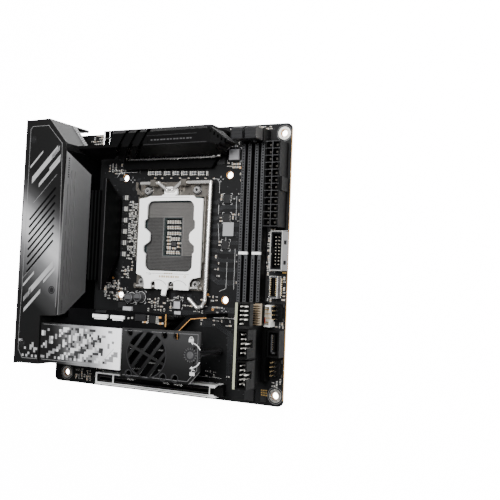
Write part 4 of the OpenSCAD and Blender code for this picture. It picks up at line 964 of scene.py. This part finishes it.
# mesh behind the rear cover's cut corner: staggered bars along the cut
mesh = Build()
d = Vector((12.9, -16.2)).normalized()
o = Vector((0.78, 0.62)) * 0.03
for i in range(11):
    for j in range(3):
        c = Vector((19.2, 172.6)) + d * (1.75 * i + (0.85 if j % 2 else 0))
        p, q, z = c - d * 0.55, c + d * 0.55, 15.4 + 1.5 * j
        mesh.prism([tuple(p), tuple(q), tuple(q + o), tuple(p + o)], z, z + 1)
mesh.done("rear_cover_mesh", "silver_line", "cover_metal")
boxes("side_panel_marks", "dark_print", "side_metal",
      [(31.49, 31.53, y0, y1, 36.3, 36.6) for y0, y1 in ((59.5, 78), (82, 100.5), (104.5, 131))]
      + [(31.49, 31.53, y + pitch * k, y + w + pitch * k, 35.8, 37)
         for k in range(9) for y, w, pitch in ((135.2, 0.8, 1.5), (48.6, 0.5, 0.95))])
# black sheet between the rear cover wall and the side panel: painted shade
side_shade = Build()
side_shade.prism([(47, 0.4), (152.9, 0.4), (152.9, 40.1), (47, 40.1)], 30.06, 30.14, "x")
side_shade.done("side_panel_shade_sheet", "void_black", "cover_metal")
boxes("side_panel_seam", "silver_line", "side_metal", [(31.5, 31.62, 47.2, 152.2, 39.6, 40.15)])

# -------- power stage heatsinks

pipe = Build()
pipe.rod([(56, 150.4, 7.4), (62, 150.2, 8), (90, 150.1, 8.2), (121, 150.1, 8.2), (126, 150.6, 7.6)], 1, 14)
pipe.done("heat_pipe", "nickel_pipe", "heatsink_metal", smooth=True)
# lighter lines along the long heatsink's edges: painted highlights
lines("long_sink_highlight", "sink_edge", "heatsink_metal",
      [(0.18, [(84, 154.9), (128.4, 154.9)]), (0.14, [(86.4, 160.4), (121.6, 160.4)])], 31)
boxes("long_sink_plate_marks", "sink_mark", "heatsink_metal",
      [(89 + 2.3 * i, 90.4 + 2.3 * i + 0.4 * (i % 2), 157.3, 158.1, 30.6, 30.63) for i in range(13)])
# lighter line along the left heatsink's ridge: painted highlight
boxes("left_sink_edge_highlight", "sink_edge", "heatsink_metal", [(49.3, 49.66, 64.1, 136.5, 19.9, 20.06)])

# -------- camera, light, floor


def place(name, data):
    ob = bpy.data.objects.new(name, data)
    bpy.context.scene.collection.objects.link(ob)
    return ob


cam_data = bpy.data.cameras.new("view")
cam_data.sensor_width = 36
cam_data.lens = 55.13
cam_data.shift_x = 0.0753
cam_data.shift_y = -0.038
cam_data.clip_start = 0.01
cam = place("view", cam_data)
# the camera's right, up and back directions and its place, fitted to the photo
turn = Matrix(((0.88395, 0.04165, -0.46573), (-0.00672, 0.99705, 0.07643), (0.46754, -0.06443, 0.88162)))
cam.matrix_world = Matrix.Translation(P(343.6, 73, 424.6)) @ turn.transposed().to_4x4()
bpy.context.scene.camera = cam

BOARD_MIDDLE = Vector((0.07, 0.07, 0))
for name, loc, size, power in (("key", (0.25, 0.35, 0.85), 0.5, 20), ("fill", (0.8, 0.15, 0.45), 0.4, 1.8),
                               ("front", (-0.1, -0.6, 0.6), 0.4, 0.5)):
    lamp = bpy.data.lights.new(name, "AREA")
    lamp.shape = "RECTANGLE"
    lamp.size = lamp.size_y = size
    lamp.energy = power
    ob = place(name, lamp)
    ob.location = loc
    ob.rotation_euler = (BOARD_MIDDLE - Vector(loc)).to_track_quat("-Z", "Y").to_euler()

world = bpy.data.worlds.new("studio")
world.use_nodes = True
sky = world.node_tree.nodes["Background"].inputs
sky["Color"].default_value = (1, 1, 1, 1)
sky["Strength"].default_value = 0.1
bpy.context.scene.world = world

FLOOR_Z = -0.0046
floor_mesh = bpy.data.meshes.new("floor")
corners = ((-30, -30), (30, -30), (30, 30), (-30, 30))
floor_mesh.from_pydata([(*corner, FLOOR_Z) for corner in corners], [], [(0, 1, 2, 3)])
floor = place("floor", floor_mesh)
# near white to the camera, weaker as a light on the board
paper, nt, bsdf = new_mat("floor_paper")
bsdf.inputs["Base Color"].default_value = (0.9, 0.9, 0.9, 1)
bsdf.inputs["Roughness"].default_value = 0.9
bsdf.inputs["Emission Color"].default_value = (1, 1, 1, 1)
seen = node(nt, "LightPath", "Is Camera Ray")
nt.links.new(maprange(nt, seen, 0, 1, 1.2, 14), bsdf.inputs["Emission Strength"])
floor_mesh.materials.append(paper)
